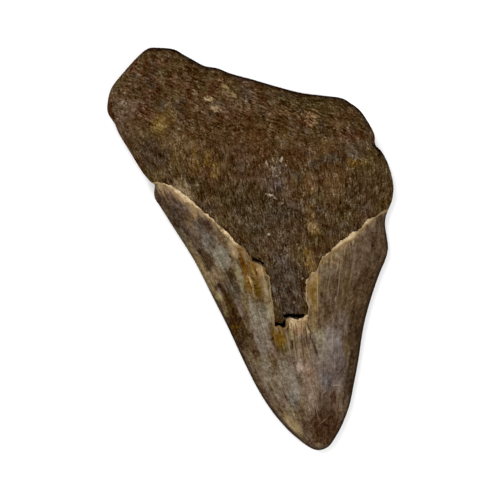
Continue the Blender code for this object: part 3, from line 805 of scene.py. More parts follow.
rootMarks = {  # small pale marks
    "crystalHigh": ((4.6, 77.5), (0.31, 0.43), 0, (184, 170, 149), 0.9),
    "crystalLow": ((4.3, 76.9), (0.39, 0.28), 0, (170, 155, 132), 0.85),
    "crystalRight": ((5.3, 75.7), (0.3, 0.28), 0, (177, 160, 126), 0.85),
    "crystalLeft": ((3.5, 77.9), (0.28, 0.31), 0, (130, 114, 93), 0.7),
    "dashPink": ((0.5, 76.9), (0.22, 0.82), 0, (169, 138, 115), 0.85),
    "curlStart": ((1.7, 75.7), (0.23, 0.23), 0, (143, 121, 98), 0.75),
    "curlUpper": ((2.3, 74.9), (0.22, 0.43), 4, (143, 122, 98), 0.8),
    "curlLeft": ((1.6, 74.4), (0.33, 0.23), -30, (150, 129, 107), 0.8),
    "curlFoot": ((2.4, 73.2), (0.45, 0.23), 10, (157, 138, 114), 0.85),
    "curlEnd": ((3.5, 73.9), (0.23, 0.35), -20, (145, 124, 98), 0.8),
    "dotLeft": ((-0.95, 73.0), (0.22, 0.31), 0, (128, 109, 88), 0.75),
    "dashMiddle": ((-0.2, 70.6), (0.27, 0.62), 0, (109, 90, 73), 0.7),
    "archTop": ((0.0, 68.7), (0.53, 0.25), -8, (184, 168, 146), 0.9),
    "archRight": ((0.8, 67.8), (0.22, 0.55), 28, (155, 138, 114), 0.85),
    "archLeft": ((-1.0, 69.1), (0.23, 0.39), 40, (145, 126, 105), 0.8),
    "dotLow": ((2.5, 66.0), (0.31, 0.28), 0, (160, 143, 117), 0.8),
    "dotFar": ((6.0, 66.4), (0.28, 0.28), 0, (126, 106, 78), 0.7),
    "greyDab": ((5.2, 65.0), (1.1, 0.9), 0, (101, 85, 68), 0.55),
    "dotBright": ((-2.4, 58.7), (0.33, 0.34), 0, (189, 177, 158), 0.9),
    "dotBeside": ((-3.3, 58.3), (0.33, 0.23), 0, (120, 102, 81), 0.75),
    "dotCentre": ((0.65, 56.6), (0.27, 0.34), 0, (138, 122, 100), 0.8),
    "tickUpper": ((1.1, 54.2), (0.23, 0.39), 0, (121, 104, 83), 0.75),
    "tickMiddle": ((0.9, 52.4), (0.2, 0.66), 2, (126, 112, 92), 0.75),
    "tickLeft": ((-2.5, 51.7), (0.2, 0.55), 0, (121, 106, 90), 0.75),
    "tickRight": ((2.8, 52.4), (0.2, 0.47), 0, (114, 99, 78), 0.7),
    "dabRight": ((4.4, 54.8), (0.41, 0.25), 0, (130, 111, 85), 0.75),
    "dotRight": ((4.6, 53.6), (0.25, 0.37), -10, (162, 146, 120), 0.85),
    "tickSlanted": ((3.8, 49.5), (0.2, 0.58), 18, (148, 134, 115), 0.85),
    "tickDim": ((-2.5, 48.7), (0.2, 0.62), 0, (104, 90, 71), 0.65),
    "lineDim": ((-1.5, 49.5), (0.2, 1.4), 0, (97, 78, 54), 0.6),
    "netLow": ((1.0, 46.6), (0.9, 0.5), 0, (109, 97, 78), 0.6),
    "dotByEdge": ((4.0, 45.7), (0.3, 0.28), 0, (147, 128, 105), 0.8),
    "dotFoot": ((0.8, 39.9), (0.27, 0.37), 0, (142, 124, 103), 0.8),
}
rootFlecks = {  # pale mineral: middle, reach, turn, share
    "flecksHook": ((2.4, 74.4), (2.6, 3.4), 30, 0.25),
    "flecksLow": ((0.0, 68.0), (1.6, 1.4), 50, 0.3),
    "flecksTongue": ((0.4, 53.4), (3.2, 5.8), 0, 0.2),
}
bone = {
    "brown": (73, 54, 32),
    "red": (76, 49, 30),
    "olive": (78, 62, 34),
    "grey": (73, 61, 47),
    "tan": (138, 118, 88),
    # painted shade for the pits and the grooves between the ridges
    "pitShade": (34, 22, 11),
    "fleck": (190, 174, 158),
    # painted shade for the foot of the break and for the recess
    "creviceShade": (5, 3, 2),
    # painted shade for the rim
    "rimShade": (22, 14, 6),
    "rimFaces": (0.37, 0.93, 0.0),  # the way that the part of the rim with painted shade faces
    "grainDepth": 0.43,
    "poreDepth": 0.29,
    "cloudDepth": 0.27,
    "furrowDepth": 0.16,
    "lift": 0.013,
    "dust": (178, 152, 116),
    "dustPlace": ((-21.6, 74.6), (3.6, 2.6), -40),
    "lobeLean": -38.0,  # the way that the strokes near the lobes lie
}


def rootMaterial():
    material, g = freshMaterial("pittedRoot")
    read = readings(g, 4.5, 2.0)
    place, rooted, lingual, flow = (read[name] for name in ("place", "rooted", "lingual", "flow"))
    along, up = read["along"], read["up"]

    def zone(level, grain, low, high):
        return g.noise(g.vector("ADD", place, (level, 2.0 * level, 0.0)), grain, 3.0, 0.6).eased(low, high)

    redness = zone(0.0, 5.0, 0.35, 0.62) * along.eased(64.0, 84.0, 0.35, 1.0)
    colour = g.mixed(redness, tone(*bone["brown"]), tone(*bone["red"]))
    colour = g.mixed(zone(40.0, 6.5, 0.48, 0.68) * 0.8, colour, tone(*bone["olive"]))
    colour = g.mixed(zone(90.0, 4.5, 0.52, 0.7) * 0.8, colour, tone(*bone["grey"]))
    stained = lingual * g.noise(place, 0.7, 2.0).eased(0.3, 0.6, 0.3, 1.0)
    colour = patched(g, colour, read["shaken"], stained, stainsAndShadeOnRoot)
    colour = patched(g, colour, read["shaken"], 1.0 - lingual, rootBack)

    # curly strokes near the lobes, drawn out along the grain below
    curl, curlOther = g.parts(g.noise(place, 1.7, 2.0, 0.5, out=1))[:2]
    bent = along.eased(70.0, 94.0, 0.4, 2.6)
    across = flow + (curl - 0.5) * bent
    drawn = along + (curlOther - 0.5) * bent
    low = g.noise(g.joined(across / 0.36, drawn / 1.9, up / 0.8), 1.0, 3.0, 0.6)
    lobeAxis = {"Vector": g.vector("ADD", place, g.scaled(g.noise(place, 1.7, 2.0, 0.5, out=1), 1.3)),
                "Axis": (0.0, 0.0, 1.0), "Angle": -math.radians(bone["lobeLean"])}
    lobe = g.vector("MULTIPLY", g.add("ShaderNodeVectorRotate", {"rotation_type": "AXIS_ANGLE"}, lobeAxis),
                    (1.0 / 1.6, 1.0 / 0.42, 1.0 / 0.8))
    onLobe = (along + read["right"] * 0.3).eased(76.0, 88.0)
    strokes = g.noise(lobe, 1.0, 3.0, 0.6) * onLobe + low * (1.0 - onLobe)
    pores = g.noise(place, 0.42, 2.0, 0.6)
    clouds = g.noise(place, 2.4, 3.0, 0.6)
    furrows = g.noise(g.joined((flow + curl) / 1.0, along / 4.5, up / 2.0), 1.0, 2.0, 0.5)
    patchy = g.noise(place, 3.0, 2.0).eased(0.3, 0.7, 0.7, 1.5) * along.eased(48.0, 58.0, 0.9, 1.0)
    depth = ((strokes - 0.5) * bone["grainDepth"] + (pores - 0.5) * bone["poreDepth"]) * patchy
    depth = depth + (clouds - 0.5) * bone["cloudDepth"] + (furrows - 0.5) * bone["furrowDepth"]
    colour = g.lifted(colour, depth * depth.eased(-0.12, 0.16, 0.88, 1.25) + bone["lift"])
    walls = (strokes * 0.6 + pores * 0.4).eased(0.57, 0.68) * zone(20.0, 4.0, 0.48, 0.62) * rooted
    colour = g.mixed(walls * 0.4, colour, tone(*bone["tan"]))
    colour = patched(g, colour, read["shaken"], lingual * strokes.eased(0.46, 0.62), rootThreads)
    clumped = g.vector("ADD", place, g.scaled(g.noise(place, 0.9, 2.0, 0.6, out=1), 1.2))
    clumped = g.vector("SUBTRACT", clumped, (0.6, 0.6, 0.6))
    knots = (strokes * 0.6 + pores * 0.4).eased(0.4, 0.54)
    colour = patched(g, colour, clumped, lingual * knots, rootClumps)
    # painted shade in the pits and in the grooves between the ridges
    colour = g.mixed(read["pit"].eased(0.15, 0.95) * 0.6, colour, tone(*bone["pitShade"]))
    colour = g.mixed(read["stria"].eased(-0.02, -0.2) * 0.35, colour, tone(*bone["pitShade"]))
    broken = (strokes * 0.5 + pores * 0.5).eased(0.36, 0.5, 0.35, 1.0)
    colour = patched(g, colour, clumped, lingual * broken, rootMarks)

    # pale dust above the break on the left
    dust = read["toMargin"].eased(-2.6, 0.2) * oval(g, place, *bone["dustPlace"])
    dust = dust * (strokes * 0.5 + pores * 0.5).eased(0.36, 0.58)
    colour = g.mixed(dust * 0.9, colour, tone(*bone["dust"]))

    # pale mineral flecks
    crumbs = g.noise(g.joined(across / 0.42, along / 1.2, up), 1.0, 2.0, 0.6).eased(0.55, 0.64)
    flecks = zone(60.0, 3.0, 0.64, 0.72) * 0.15
    for at, reach, turn, share in rootFlecks.values():
        flecks = g.maths("MAXIMUM", flecks, oval(g, place, at, reach, turn) * share)
    colour = g.mixed(crumbs * flecks * lingual, colour, tone(*bone["fleck"]))

    # painted shade at the foot of the break, in the recess and round the rim
    foot = g.maths("ABSOLUTE", read["toMargin"]).eased(0.05, 0.5, 1.0, 0.0)
    foot = foot * g.noise(place, 1.8).eased(0.45, 0.6)
    colour = g.mixed(foot * lingual * 0.7, colour, tone(*bone["creviceShade"]))
    # painted shade on the rim where it faces up and to the right
    faces = g.add("ShaderNodeNewGeometry", None, None, out=1)
    facing = g.second(g.vector("DOT_PRODUCT", faces, bone["rimFaces"])).eased(0.4, 0.8, 0.04, 0.85)
    colour = g.mixed(read["toRim"].eased(0.1, 1.8, 1.0, 0.0) * facing, colour, tone(*bone["rimShade"]))
    # painted shadow in the recess
    colour = g.mixed(read["recess"].eased(0.5, 0.75), colour, tone(*bone["creviceShade"]))
    height = strokes + pores * 0.8
    finished(g, colour, pores.eased(0.3, 0.7, 0.8, 0.62), height, 0.16, 0.0)
    return material


enamelPatches = {
    "lowWide": ((2.0, 22.0), (8.4, 10.0), 0, (120, 103, 88), 0.6),
    "mauveWide": ((7.0, 22.0), (3.6, 9.0), -8, (112, 97, 88), 0.75),
    "shoulderRust": ((-26.5, 73.6), (2.8, 2.4), 22, (98, 73, 55), 0.7),
    "shoulderUmber": ((-28.9, 72.8), (1.2, 3.2), 14, (68, 50, 37), 0.85),
    "shoulderMauve": ((-25.6, 70.4), (1.6, 2.4), 20, (80, 63, 52), 0.7),
    "paleShoulder": ((-27.0, 75.8), (2.2, 1.1), -24, (160, 132, 100), 0.8),
    "khakiByNotch": ((-28.3, 77.2), (0.9, 1.0), 0, (150, 134, 90), 0.85),
    "darkDash": ((-26.8, 76.7), (0.25, 0.6), 10, (70, 52, 36), 0.7),
    "paleUnderLip": ((-23.2, 72.8), (2.6, 0.7), -44, (150, 118, 86), 0.6),
    "tanUnderLip": ((-17.6, 66.0), (3.6, 0.5), -56, (122, 96, 68), 0.7),
    "shoulderDark": ((-25.6, 66.0), (1.7, 5.4), 22, (58, 44, 31), 0.85),
    "oliveUpper": ((-24.9, 62.0), (1.1, 2.6), 22, (100, 88, 66), 0.7),
    "mauveUpper": ((-18.6, 62.8), (2.8, 4.6), 20, (92, 78, 70), 0.75),
    "tanFlame": ((-20.8, 69.4), (0.75, 2.2), 20, (148, 114, 74), 0.85),
    "brownUnderLip": ((-16.4, 61.6), (0.8, 4.5), 32, (92, 66, 44), 0.6),
    "brownStreak": ((-20.0, 55.8), (1.4, 4.0), 16, (66, 49, 33), 0.85),
    "paleGrey": ((-15.7, 55.2), (2.0, 3.6), 12, (131, 123, 105), 0.88),
    "greyAbove": ((-18.6, 59.4), (1.6, 3.0), 16, (104, 96, 82), 0.7),
    "oliveSpot": ((-14.1, 50.5), (1.0, 1.6), 14, (68, 56, 32), 0.95),
    "mauveSpot": ((-12.6, 53.6), (0.7, 1.7), 10, (98, 84, 69), 0.8),
    "khakiEdge": ((-21.2, 52.6), (1.2, 4.6), 16, (136, 115, 80), 0.9),
    "khakiEdgeLow": ((-20.2, 48.6), (1.0, 2.6), 16, (140, 121, 88), 0.9),
    "khakiMiddle": ((-16.7, 50.8), (1.2, 2.4), 14, (126, 109, 83), 0.75),
    "tanAboveSpot": ((-18.7, 50.9), (1.4, 1.8), 20, (134, 110, 84), 0.85),
    "tanBesideSpot": ((-16.4, 49.0), (0.5, 1.3), 18, (122, 103, 80), 0.55),
    "khakiSpot": ((-18.6, 45.0), (0.75, 1.3), 14, (140, 123, 80), 0.95),
    "khakiSpotLow": ((-17.6, 41.3), (0.6, 1.2), 14, (124, 108, 74), 0.85),
    "darkBand": ((-16.0, 42.8), (1.4, 4.8), 10, (58, 38, 16), 0.98),
    "darkBandLow": ((-15.2, 35.2), (2.3, 5.6), 12, (60, 38, 14), 1.0),
    "darkBandEnd": ((-12.9, 30.6), (1.6, 4.4), 14, (66, 46, 24), 0.85),
    "brownBandEnd": ((-13.6, 32.8), (1.9, 3.6), 12, (61, 44, 24), 0.95),
    "greenGrey": ((-14.2, 46.0), (1.6, 3.0), 10, (66, 56, 39), 0.85),
    "greyStreak": ((-9.3, 37.4), (2.3, 6.4), 6, (122, 110, 92), 0.9),
    "greyPaleA": ((-8.4, 36.4), (0.5, 4.6), 4, (146, 136, 118), 0.7),
    "greyPaleB": ((-10.8, 39.8), (0.4, 3.6), 8, (136, 124, 102), 0.45),
    "khakiPaleLow": ((-6.4, 38.6), (0.8, 2.6), 2, (132, 128, 96), 0.8),
    "orangeFlake": ((-8.6, 48.4), (2.3, 6.2), 4, (103, 75, 33), 0.9),
    "orangeDeepA": ((-10.4, 50.8), (0.7, 6.2), 2, (102, 69, 20), 0.95),
    "orangeHigh": ((-10.1, 56.4), (0.9, 1.8), 20, (120, 86, 38), 0.85),
    "orangeDeepB": ((-8.1, 45.4), (0.7, 3.0), 2, (84, 62, 18), 0.95),
    "goldFlakeTop": ((-7.9, 51.4), (1.2, 1.6), 0, (138, 108, 58), 0.8),
    "paleStreak": ((-9.6, 48.3), (0.24, 1.3), 2, (180, 152, 108), 0.9),
    "paleStreakLow": ((-9.4, 45.0), (0.24, 2.4), -2, (132, 114, 78), 0.7),
    "paleStreakHigh": ((-12.2, 56.8), (0.8, 2.4), 16, (166, 138, 100), 0.85),
    "paleStreakMiddle": ((-12.0, 49.6), (0.6, 4.4), 4, (136, 124, 94), 0.8),
    "paleStreakB": ((-6.0, 45.0), (0.7, 4.6), 2, (104, 83, 51), 0.8),
    "shoulderCream": ((-6.2, 50.3), (0.9, 1.4), 0, (178, 146, 102), 0.85),
    "creamBesideTongue": ((-5.7, 47.2), (0.45, 3.2), 3, (150, 126, 90), 0.8),
    "tanBesideTongue": ((-5.6, 42.6), (0.8, 6.4), 3, (130, 112, 82), 0.85),
    "orangeSmallFlake": ((-4.8, 32.0), (1.8, 3.4), 4, (100, 72, 22), 1.0),
    "darkUnderFlake": ((-4.1, 27.9), (0.9, 1.7), 0, (72, 60, 24), 0.9),
    "brownFlake": ((0.2, 29.8), (2.8, 5.2), 4, (122, 101, 76), 0.85),
    "tanFlakeTop": ((0.7, 34.7), (2.7, 1.5), 0, (162, 130, 88), 0.9),
    "creamFlakeTop": ((-1.0, 35.2), (1.1, 0.7), 0, (206, 182, 140), 0.9),
    "redFlakeTop": ((0.3, 32.9), (1.6, 1.3), 0, (142, 106, 76), 0.7),
    "darkFlakeMiddle": ((2.0, 29.6), (0.9, 1.8), 6, (82, 66, 48), 0.7),
    "tanFlakeSide": ((-1.3, 31.6), (0.35, 2.4), 12, (140, 124, 78), 0.7),
    "flakeHook": ((2.65, 32.0), (0.4, 1.3), 20, (176, 150, 110), 0.95),
    "crackLeft": ((-2.2, 29.3), (0.38, 1.9), 8, (58, 46, 24), 0.85),
    "crackRight": ((3.6, 27.4), (0.35, 3.4), 9, (60, 48, 32), 0.85),
    "flakeFoot": ((-5.1, 24.2), (1.3, 1.6), 0, (100, 96, 78), 0.8),
    "pinkSpot": ((-0.9, 23.0), (1.0, 1.1), -20, (168, 144, 128), 0.9),
    "pinkMiddle": ((0.9, 21.8), (1.1, 2.6), 2, (150, 124, 103), 0.85),
    "tanMiddle": ((1.7, 20.4), (0.7, 1.8), 2, (134, 104, 78), 0.8),
    "mauveMiddle": ((5.4, 18.4), (1.4, 2.8), 0, (88, 79, 76), 0.8),
    "pinkRidge": ((0.4, 16.8), (1.5, 5.6), 0, (130, 108, 92), 0.8),
    "besideRidge": ((-1.8, 19.6), (0.8, 1.9), 4, (88, 73, 58), 0.75),
    "greyLowLeft": ((-9.3, 31.6), (2.0, 4.6), 4, (124, 110, 96), 0.8),
    "brownLowLeft": ((-13.2, 29.6), (1.6, 3.2), 10, (82, 62, 40), 0.7),
    "khakiLowEdge": ((-13.2, 27.0), (1.0, 2.8), 16, (112, 94, 70), 0.8),
    "whiteGrey": ((-10.0, 25.2), (1.6, 2.4), 8, (128, 114, 96), 0.75),
    "blueGrey": ((-4.1, 18.6), (1.9, 5.4), 2, (128, 117, 102), 0.9),
    "lavenderLeft": ((-4.3, 19.6), (0.9, 4.0), 2, (130, 122, 111), 0.85),
    "paleLowLeft": ((-5.4, 20.6), (2.0, 4.6), 2, (124, 110, 92), 0.85),
    "khakiLowLeft": ((-9.0, 19.8), (1.9, 4.4), 16, (124, 110, 90), 0.8),
    "khakiNearTip": ((-5.7, 8.6), (1.2, 3.7), 28, (150, 128, 90), 0.9),
    "paleNearTip": ((-5.6, 12.2), (1.2, 2.2), 20, (136, 119, 94), 0.8),
    "greyNearTip": ((-4.5, 14.2), (1.2, 2.6), 10, (112, 107, 98), 0.8),
    "brownNearTip": ((-2.8, 10.6), (0.9, 4.4), 14, (86, 66, 46), 0.7),
    "greenGreyRight": ((6.4, 28.4), (2.0, 3.8), -12, (136, 127, 104), 0.6),
    "greenGreyMiddle": ((5.6, 29.8), (1.1, 1.9), -4, (144, 136, 110), 0.6),
    "greyBesideFlake": ((5.4, 25.4), (1.2, 2.4), 0, (126, 116, 100), 0.7),
    "blueGreyRight": ((9.0, 28.2), (2.5, 3.8), -12, (136, 124, 116), 0.7),
    "brownAboveGrey": ((8.6, 34.6), (1.4, 2.2), -10, (92, 72, 50), 0.7),
    "oliveBesideFlake": ((4.7, 33.6), (1.2, 2.8), 2, (112, 90, 52), 0.8),
    "mauveStreak": ((8.4, 21.4), (2.2, 6.0), -8, (106, 92, 84), 0.8),
    "darkRightLow": ((14.0, 22.2), (2.1, 9.8), -20, (68, 51, 32), 0.97),
    "darkRightTip": ((10.6, 15.4), (1.1, 4.6), -20, (62, 46, 32), 0.8),
    "darkRightHigh": ((20.4, 40.4), (3.3, 11.8), -29, (73, 54, 32), 0.95),
    "darkRightJoin": ((14.9, 30.2), (2.2, 5.6), -20, (62, 44, 24), 0.9),
    "brownRightMid": ((14.0, 40.4), (4.6, 10.0), -18, (86, 66, 45), 0.75),
    "mauveMidRight": ((12.2, 31.8), (2.0, 3.6), -16, (102, 86, 75), 0.7),
    "redSpot": ((6.0, 12.8), (0.7, 2.3), -6, (80, 45, 37), 0.85),
    "darkNearTip": ((4.4, 12.4), (2.4, 4.2), -8, (74, 54, 40), 0.75),
    "tipBrown": ((3.0, 5.6), (4.6, 4.8), -20, (64, 40, 22), 0.95),
    "yellowInner": ((6.0, 41.2), (1.3, 5.8), -6, (122, 94, 46), 0.9),
    "goldPlate": ((7.2, 45.6), (1.3, 2.2), -8, (136, 106, 58), 0.85),
    "paleBesideTongue": ((4.8, 43.4), (0.5, 3.8), -4, (146, 118, 74), 0.85),
    "brownInner": ((8.8, 39.0), (0.9, 6.4), -8, (78, 58, 36), 0.75),
    "mauveTopRight": ((24.6, 53.4), (4.0, 5.0), -18, (90, 71, 55), 0.8),
    "mauveHighRight": ((19.0, 49.0), (4.6, 4.0), -18, (96, 77, 59), 0.7),
    "darkTopRight": ((24.6, 49.4), (1.4, 5.0), -22, (72, 54, 36), 0.7),
    "brownTopRight": ((26.2, 50.0), (1.7, 4.8), -16, (86, 67, 47), 0.85),
    "goldUnderLip": ((10.6, 49.8), (1.8, 0.9), 34, (128, 100, 54), 0.8),
    "goldUnderLipHigh": ((16.6, 52.9), (5.4, 1.2), 27, (134, 106, 70), 0.7),
    "paleHighRight": ((13.0, 48.9), (2.4, 1.6), 10, (140, 117, 88), 0.75),
    "tanRightEnd": ((23.4, 56.6), (2.6, 0.7), 22, (130, 102, 66), 0.8),
    "lavenderRight": ((9.6, 24.4), (2.0, 3.4), -10, (118, 106, 100), 0.6),
    "mauveLow": ((9.8, 20.6), (1.7, 4.0), -12, (86, 71, 62), 0.75),
    "greyHighRight": ((11.2, 46.4), (1.8, 2.6), -14, (112, 96, 76), 0.7),
}
enamelBack = {  # on the labial face
    "backBand": ((0.0, 62.6), (36.0, 2.6), -17, (66, 50, 35), 0.75),
    "backGrey": ((-3.0, 42.0), (6.0, 15.0), 4, (122, 110, 93), 0.65),
    "backBrown": ((-15.0, 46.0), (3.0, 13.0), 14, (74, 57, 39), 0.75),
    "backTan": ((10.0, 34.0), (3.0, 12.0), -14, (128, 108, 78), 0.65),
    "backDark": ((20.0, 44.0), (3.0, 12.0), -28, (62, 45, 26), 0.85),
    "backMauve": ((8.0, 54.0), (9.0, 5.0), -16, (97, 81, 71), 0.7),
    "backKhaki": ((-5.0, 17.0), (2.8, 8.0), 14, (122, 104, 74), 0.75),
    "backTip": ((1.0, 5.0), (6.0, 5.0), 0, (72, 49, 32), 0.85),
    "backOrange": ((-20.0, 60.0), (2.6, 5.0), 20, (118, 86, 42), 0.7),
}
scratchesAndShade = {  # fine marks with crisp ends; the dark marks beside the hook and in the small hollow near the tip are painted shade
    "darkSpot": ((-17.8, 48.0), (0.6, 0.85), 20, (40, 22, 6), 0.95),
    "darkSpotTail": ((-17.1, 46.5), (0.55, 1.5), 24, (52, 33, 14), 0.85),
    "lineInner": ((7.5, 43.0), (0.16, 6.4), -10, (162, 140, 98), 0.8),
    "lineFar": ((13.6, 44.0), (0.16, 5.8), -16, (138, 116, 92), 0.75),
    "lineHigh": ((17.8, 46.6), (0.14, 5.0), -20, (128, 108, 88), 0.6),
    "dashUpper": ((11.6, 38.8), (0.25, 0.8), -20, (146, 122, 100), 0.8),
    "flakeEdge": ((-2.8, 29.4), (0.2, 3.4), 1, (140, 124, 96), 0.75),
    "flakeDarkA": ((-1.0, 29.6), (0.16, 4.6), -3, (68, 50, 34), 0.8),
    "flakeDarkB": ((0.7, 28.2), (0.2, 4.4), -5, (74, 56, 38), 0.75),
    "flakeDarkC": ((2.2, 30.8), (0.16, 3.6), -6, (66, 48, 32), 0.8),
    "flakeDarkD": ((0.0, 33.6), (0.13, 2.0), 2, (110, 76, 44), 0.8),
    "flakeDarkE": ((1.5, 34.2), (0.13, 1.8), -4, (114, 80, 46), 0.8),
    "hookShade": ((3.35, 32.2), (0.16, 1.3), 18, (46, 34, 16), 0.85),
    "flakePale": ((1.9, 26.6), (0.14, 3.0), 4, (146, 124, 98), 0.65),
    "ridgePale": ((1.0, 16.8), (0.16, 2.8), 2, (152, 132, 112), 0.65),
    "lipLineA": ((12.6, 49.6), (0.12, 1.6), -16, (160, 136, 96), 0.7),
    "lipLineB": ((16.4, 50.9), (0.13, 1.2), -18, (160, 138, 104), 0.75),
    "lipLineC": ((19.0, 52.6), (0.14, 1.0), -18, (176, 150, 112), 0.85),
    "lipLineD": ((22.4, 55.2), (0.12, 1.0), -20, (156, 132, 98), 0.7),
    "across": ((7.5, 16.3), (1.4, 0.22), -10, (150, 132, 116), 0.65),
    "star": ((4.0, 15.2), (0.2, 0.9), -60, (148, 136, 120), 0.5),
    "nearTip": ((2.3, 7.6), (1.2, 0.15), 26, (122, 102, 86), 0.7),
    # painted shade in a small hollow near the tip
    "hollowShade": ((2.9, 6.4), (0.8, 0.4), -30, (32, 16, 8), 0.85),
    "tipFleck": ((0.0, 1.7), (0.4, 0.5), 0, (132, 106, 82), 0.75),
}
enamel = {
    "brown": (99, 78, 53),
    "mauve": (103, 84, 71),
    "khaki": (108, 91, 58),
    "umber": (70, 50, 28),
    "pale": (156, 138, 110),
    "lip": (172, 140, 100),
    "lipLow": (136, 106, 66),
    # the dark of the cracks, and painted shade for the rim
    "crackAndRimShade": (36, 23, 11),
    "streakDepth": 0.13,
    "cloudDepth": 0.3,
    "blotchDepth": 0.26,
    "fibreDepth": 0.1,
    "fineDepth": 0.23,
    "fineRight": 0.165,
    "lift": 0.002,
}
lipGlow = {  # where the enamel's lip is pale: middle, reach, turn, share
    "lip": ((-21.0, 70.4), (9.0, 5.0), -46, 0.75),
    "lipLow": ((16.0, 52.8), (9.0, 4.0), 28, 0.5),
}


def enamelMaterial():
    material, g = freshMaterial("satinEnamel")
    read = readings(g, 2.2, 7.0)
    names = ("place", "flow", "along", "up", "lingual")
    place, flow, along, up, lingual = (read[name] for name in names)

    def zone(level, grain, low, high):
        return g.noise(g.joined(flow + level, along / 3.2, up / 2.0), grain, 3.0, 0.6).eased(low, high)

    colour = g.mixed(zone(0.0, 3.0, 0.42, 0.6), tone(*enamel["brown"]), tone(*enamel["mauve"]))
    colour = g.mixed(zone(31.0, 3.4, 0.5, 0.64), colour, tone(*enamel["khaki"]))
    colour = g.mixed(zone(57.0, 2.4, 0.54, 0.66) * 0.85, colour, tone(*enamel["umber"]))
    colour = patched(g, colour, read["shaken"], lingual, enamelPatches)
    colour = patched(g, colour, read["shaken"], 1.0 - lingual, enamelBack)
    clouds = g.noise(place, 0.95, 3.0, 0.6)
    blotches = g.noise(g.joined(flow + 80.0, along / 1.8, up), 2.2, 3.0, 0.6)
    fibres = g.noise(g.joined(flow / 0.4, along / 9.0, up), 1.0, 2.0, 0.5)
    grain = g.noise(place, 0.34, 1.0, 0.5)
    patchy = g.noise(g.joined(flow, along / 2.0, up), 3.4, 2.0).eased(0.3, 0.7, 0.6, 1.4)
    depth = (read["streaks"] - 0.5) * enamel["streakDepth"] + (clouds - 0.5) * enamel["cloudDepth"]
    depth = depth + (blotches - 0.5) * enamel["blotchDepth"] + (fibres - 0.5) * enamel["fibreDepth"]
    fine = flow.eased(-4.0, 8.0, enamel["fineDepth"], enamel["fineRight"])
    depth = depth * flow.eased(-8.0, 8.0, 1.18, 1.0) + (grain - 0.5) * patchy * fine
    colour = g.lifted(colour, depth + enamel["lift"])
    nearLip = read["pastLip"].eased(0.4, 2.2, 1.0, 0.0) * blotches.eased(0.45, 0.6) * lingual
    colour = g.mixed(nearLip * 0.4, colour, tone(*enamel["pale"]))
    fade = read["pastLip"].eased(0.0, 1.0, 1.0, 0.0)
    fade = fade * read["streaks"].eased(0.36, 0.6, 0.35, 1.0) * lingual
    for name, (at, reach, turn, share) in lipGlow.items():
        glow = fade * oval(g, place, at, reach, turn) * share
        colour = g.mixed(glow, colour, tone(*enamel[name]))
    whisker = g.noise(g.joined(flow / 0.24, along / 5.0, 8.0), 1.0, 1.0)
    colour = g.mixed(whisker.eased(0.64, 0.74) * 0.22, colour, tone(*enamel["pale"]))
    colour = patched(g, colour, place, lingual, scratchesAndShade)
    colour = g.mixed(read["crack"] * 0.6, colour, tone(*enamel["crackAndRimShade"]))
    # painted shade round the enamel's rim, weaker on the upper left side
    onLeft = flow.eased(-20.0, -22.0) * along.eased(38.0, 60.0)
    rim = read["toRim"].eased(0.15, 1.1, 1.0, 0.0) * (0.85 - onLeft * 0.62)
    colour = g.mixed(rim, colour, tone(*enamel["crackAndRimShade"]))
    height = clouds + read["streaks"] * 0.5
    finished(g, colour, clouds.eased(0.3, 0.7, 0.36, 0.48), height, 0.035, 0.02)
    return material


brokenFace = {
    "cream": (232, 206, 164),
    "tan": (150, 120, 76),
    "golden": (116, 86, 44),
    "orange": (122, 84, 34),
    "orangePlace": ((-8.8, 52.0), (4.0, 6.0), 0),
}
breakCream = {  # where the break is freshest: middle, reach, turn, share
    "left": ((-22.4, 72.8), (8.4, 3.6), -42, 1.0),
    "leftLow": ((-15.0, 63.8), (7.6, 2.4), -57, 1.0),
    "right": ((18.0, 54.4), (8.4, 2.0), 24, 0.65),
    "rightInner": ((11.6, 51.0), (3.0, 1.2), 34, 0.8),
    "rightLow": ((15.8, 53.1), (1.8, 1.1), 24, 1.0),
    "rightMiddle": ((18.8, 54.5), (2.2, 1.3), 24, 1.0),
    "rightHigh": ((23.9, 57.6), (1.8, 1.0), 26, 1.0),
    "rightEnd": ((26.0, 58.2), (3.6, 1.4), 14, 0.5),
    "tongueRight": ((4.6, 42.4), (1.0, 5.0), 0, 0.75),
    "flake": ((0.8, 35.4), (2.8, 1.4), 0, 1.0),
    "shoulder": ((-6.0, 51.6), (1.4, 1.0), 0, 0.7),
    "tongueLeft": ((-4.9, 42.0), (1.0, 7.0), 0, 0.35),
    "inner": ((7.6, 47.0), (1.6, 0.9), 0, 0.6),
}


def breakMaterial():
    material, g = freshMaterial("brokenEnamel")
    read = readings(g, 1.5, 1.0)
    grain = g.noise(g.joined(read["flow"] / 0.3, read["along"] / 0.9, 2.0), 1.0, 3.0)
    splotches = g.noise(read["place"], 1.6, 3.0)
    fresh = 0.0
    for at, reach, turn, share in breakCream.values():
        fresh = g.maths("MAXIMUM", fresh, oval(g, read["shaken"], at, reach, turn) * share)
    colour = g.mixed(grain.eased(0.35, 0.6), tone(*brokenFace["golden"]), tone(*brokenFace["tan"]))
    clean = fresh * (grain * 0.5 + splotches * 0.5).eased(0.38, 0.56)
    colour = g.mixed(clean, colour, tone(*brokenFace["cream"]))
    stained = oval(g, read["shaken"], *brokenFace["orangePlace"]) * splotches.eased(0.45, 0.6)
    colour = g.mixed(stained * 0.7, colour, tone(*brokenFace["orange"]))
    towardsLip = read["bare"].eased(0.05, 0.55, 0.75, 0.0) * splotches.eased(0.36, 0.52)
    colour = g.mixed(towardsLip, colour, tone(*brokenFace["tan"]))
    finished(g, colour, 0.6, grain, 0.06, 0.12)
    return material


finishMaterials = (rootMaterial(), enamelMaterial(), breakMaterial())
print("finishes made")

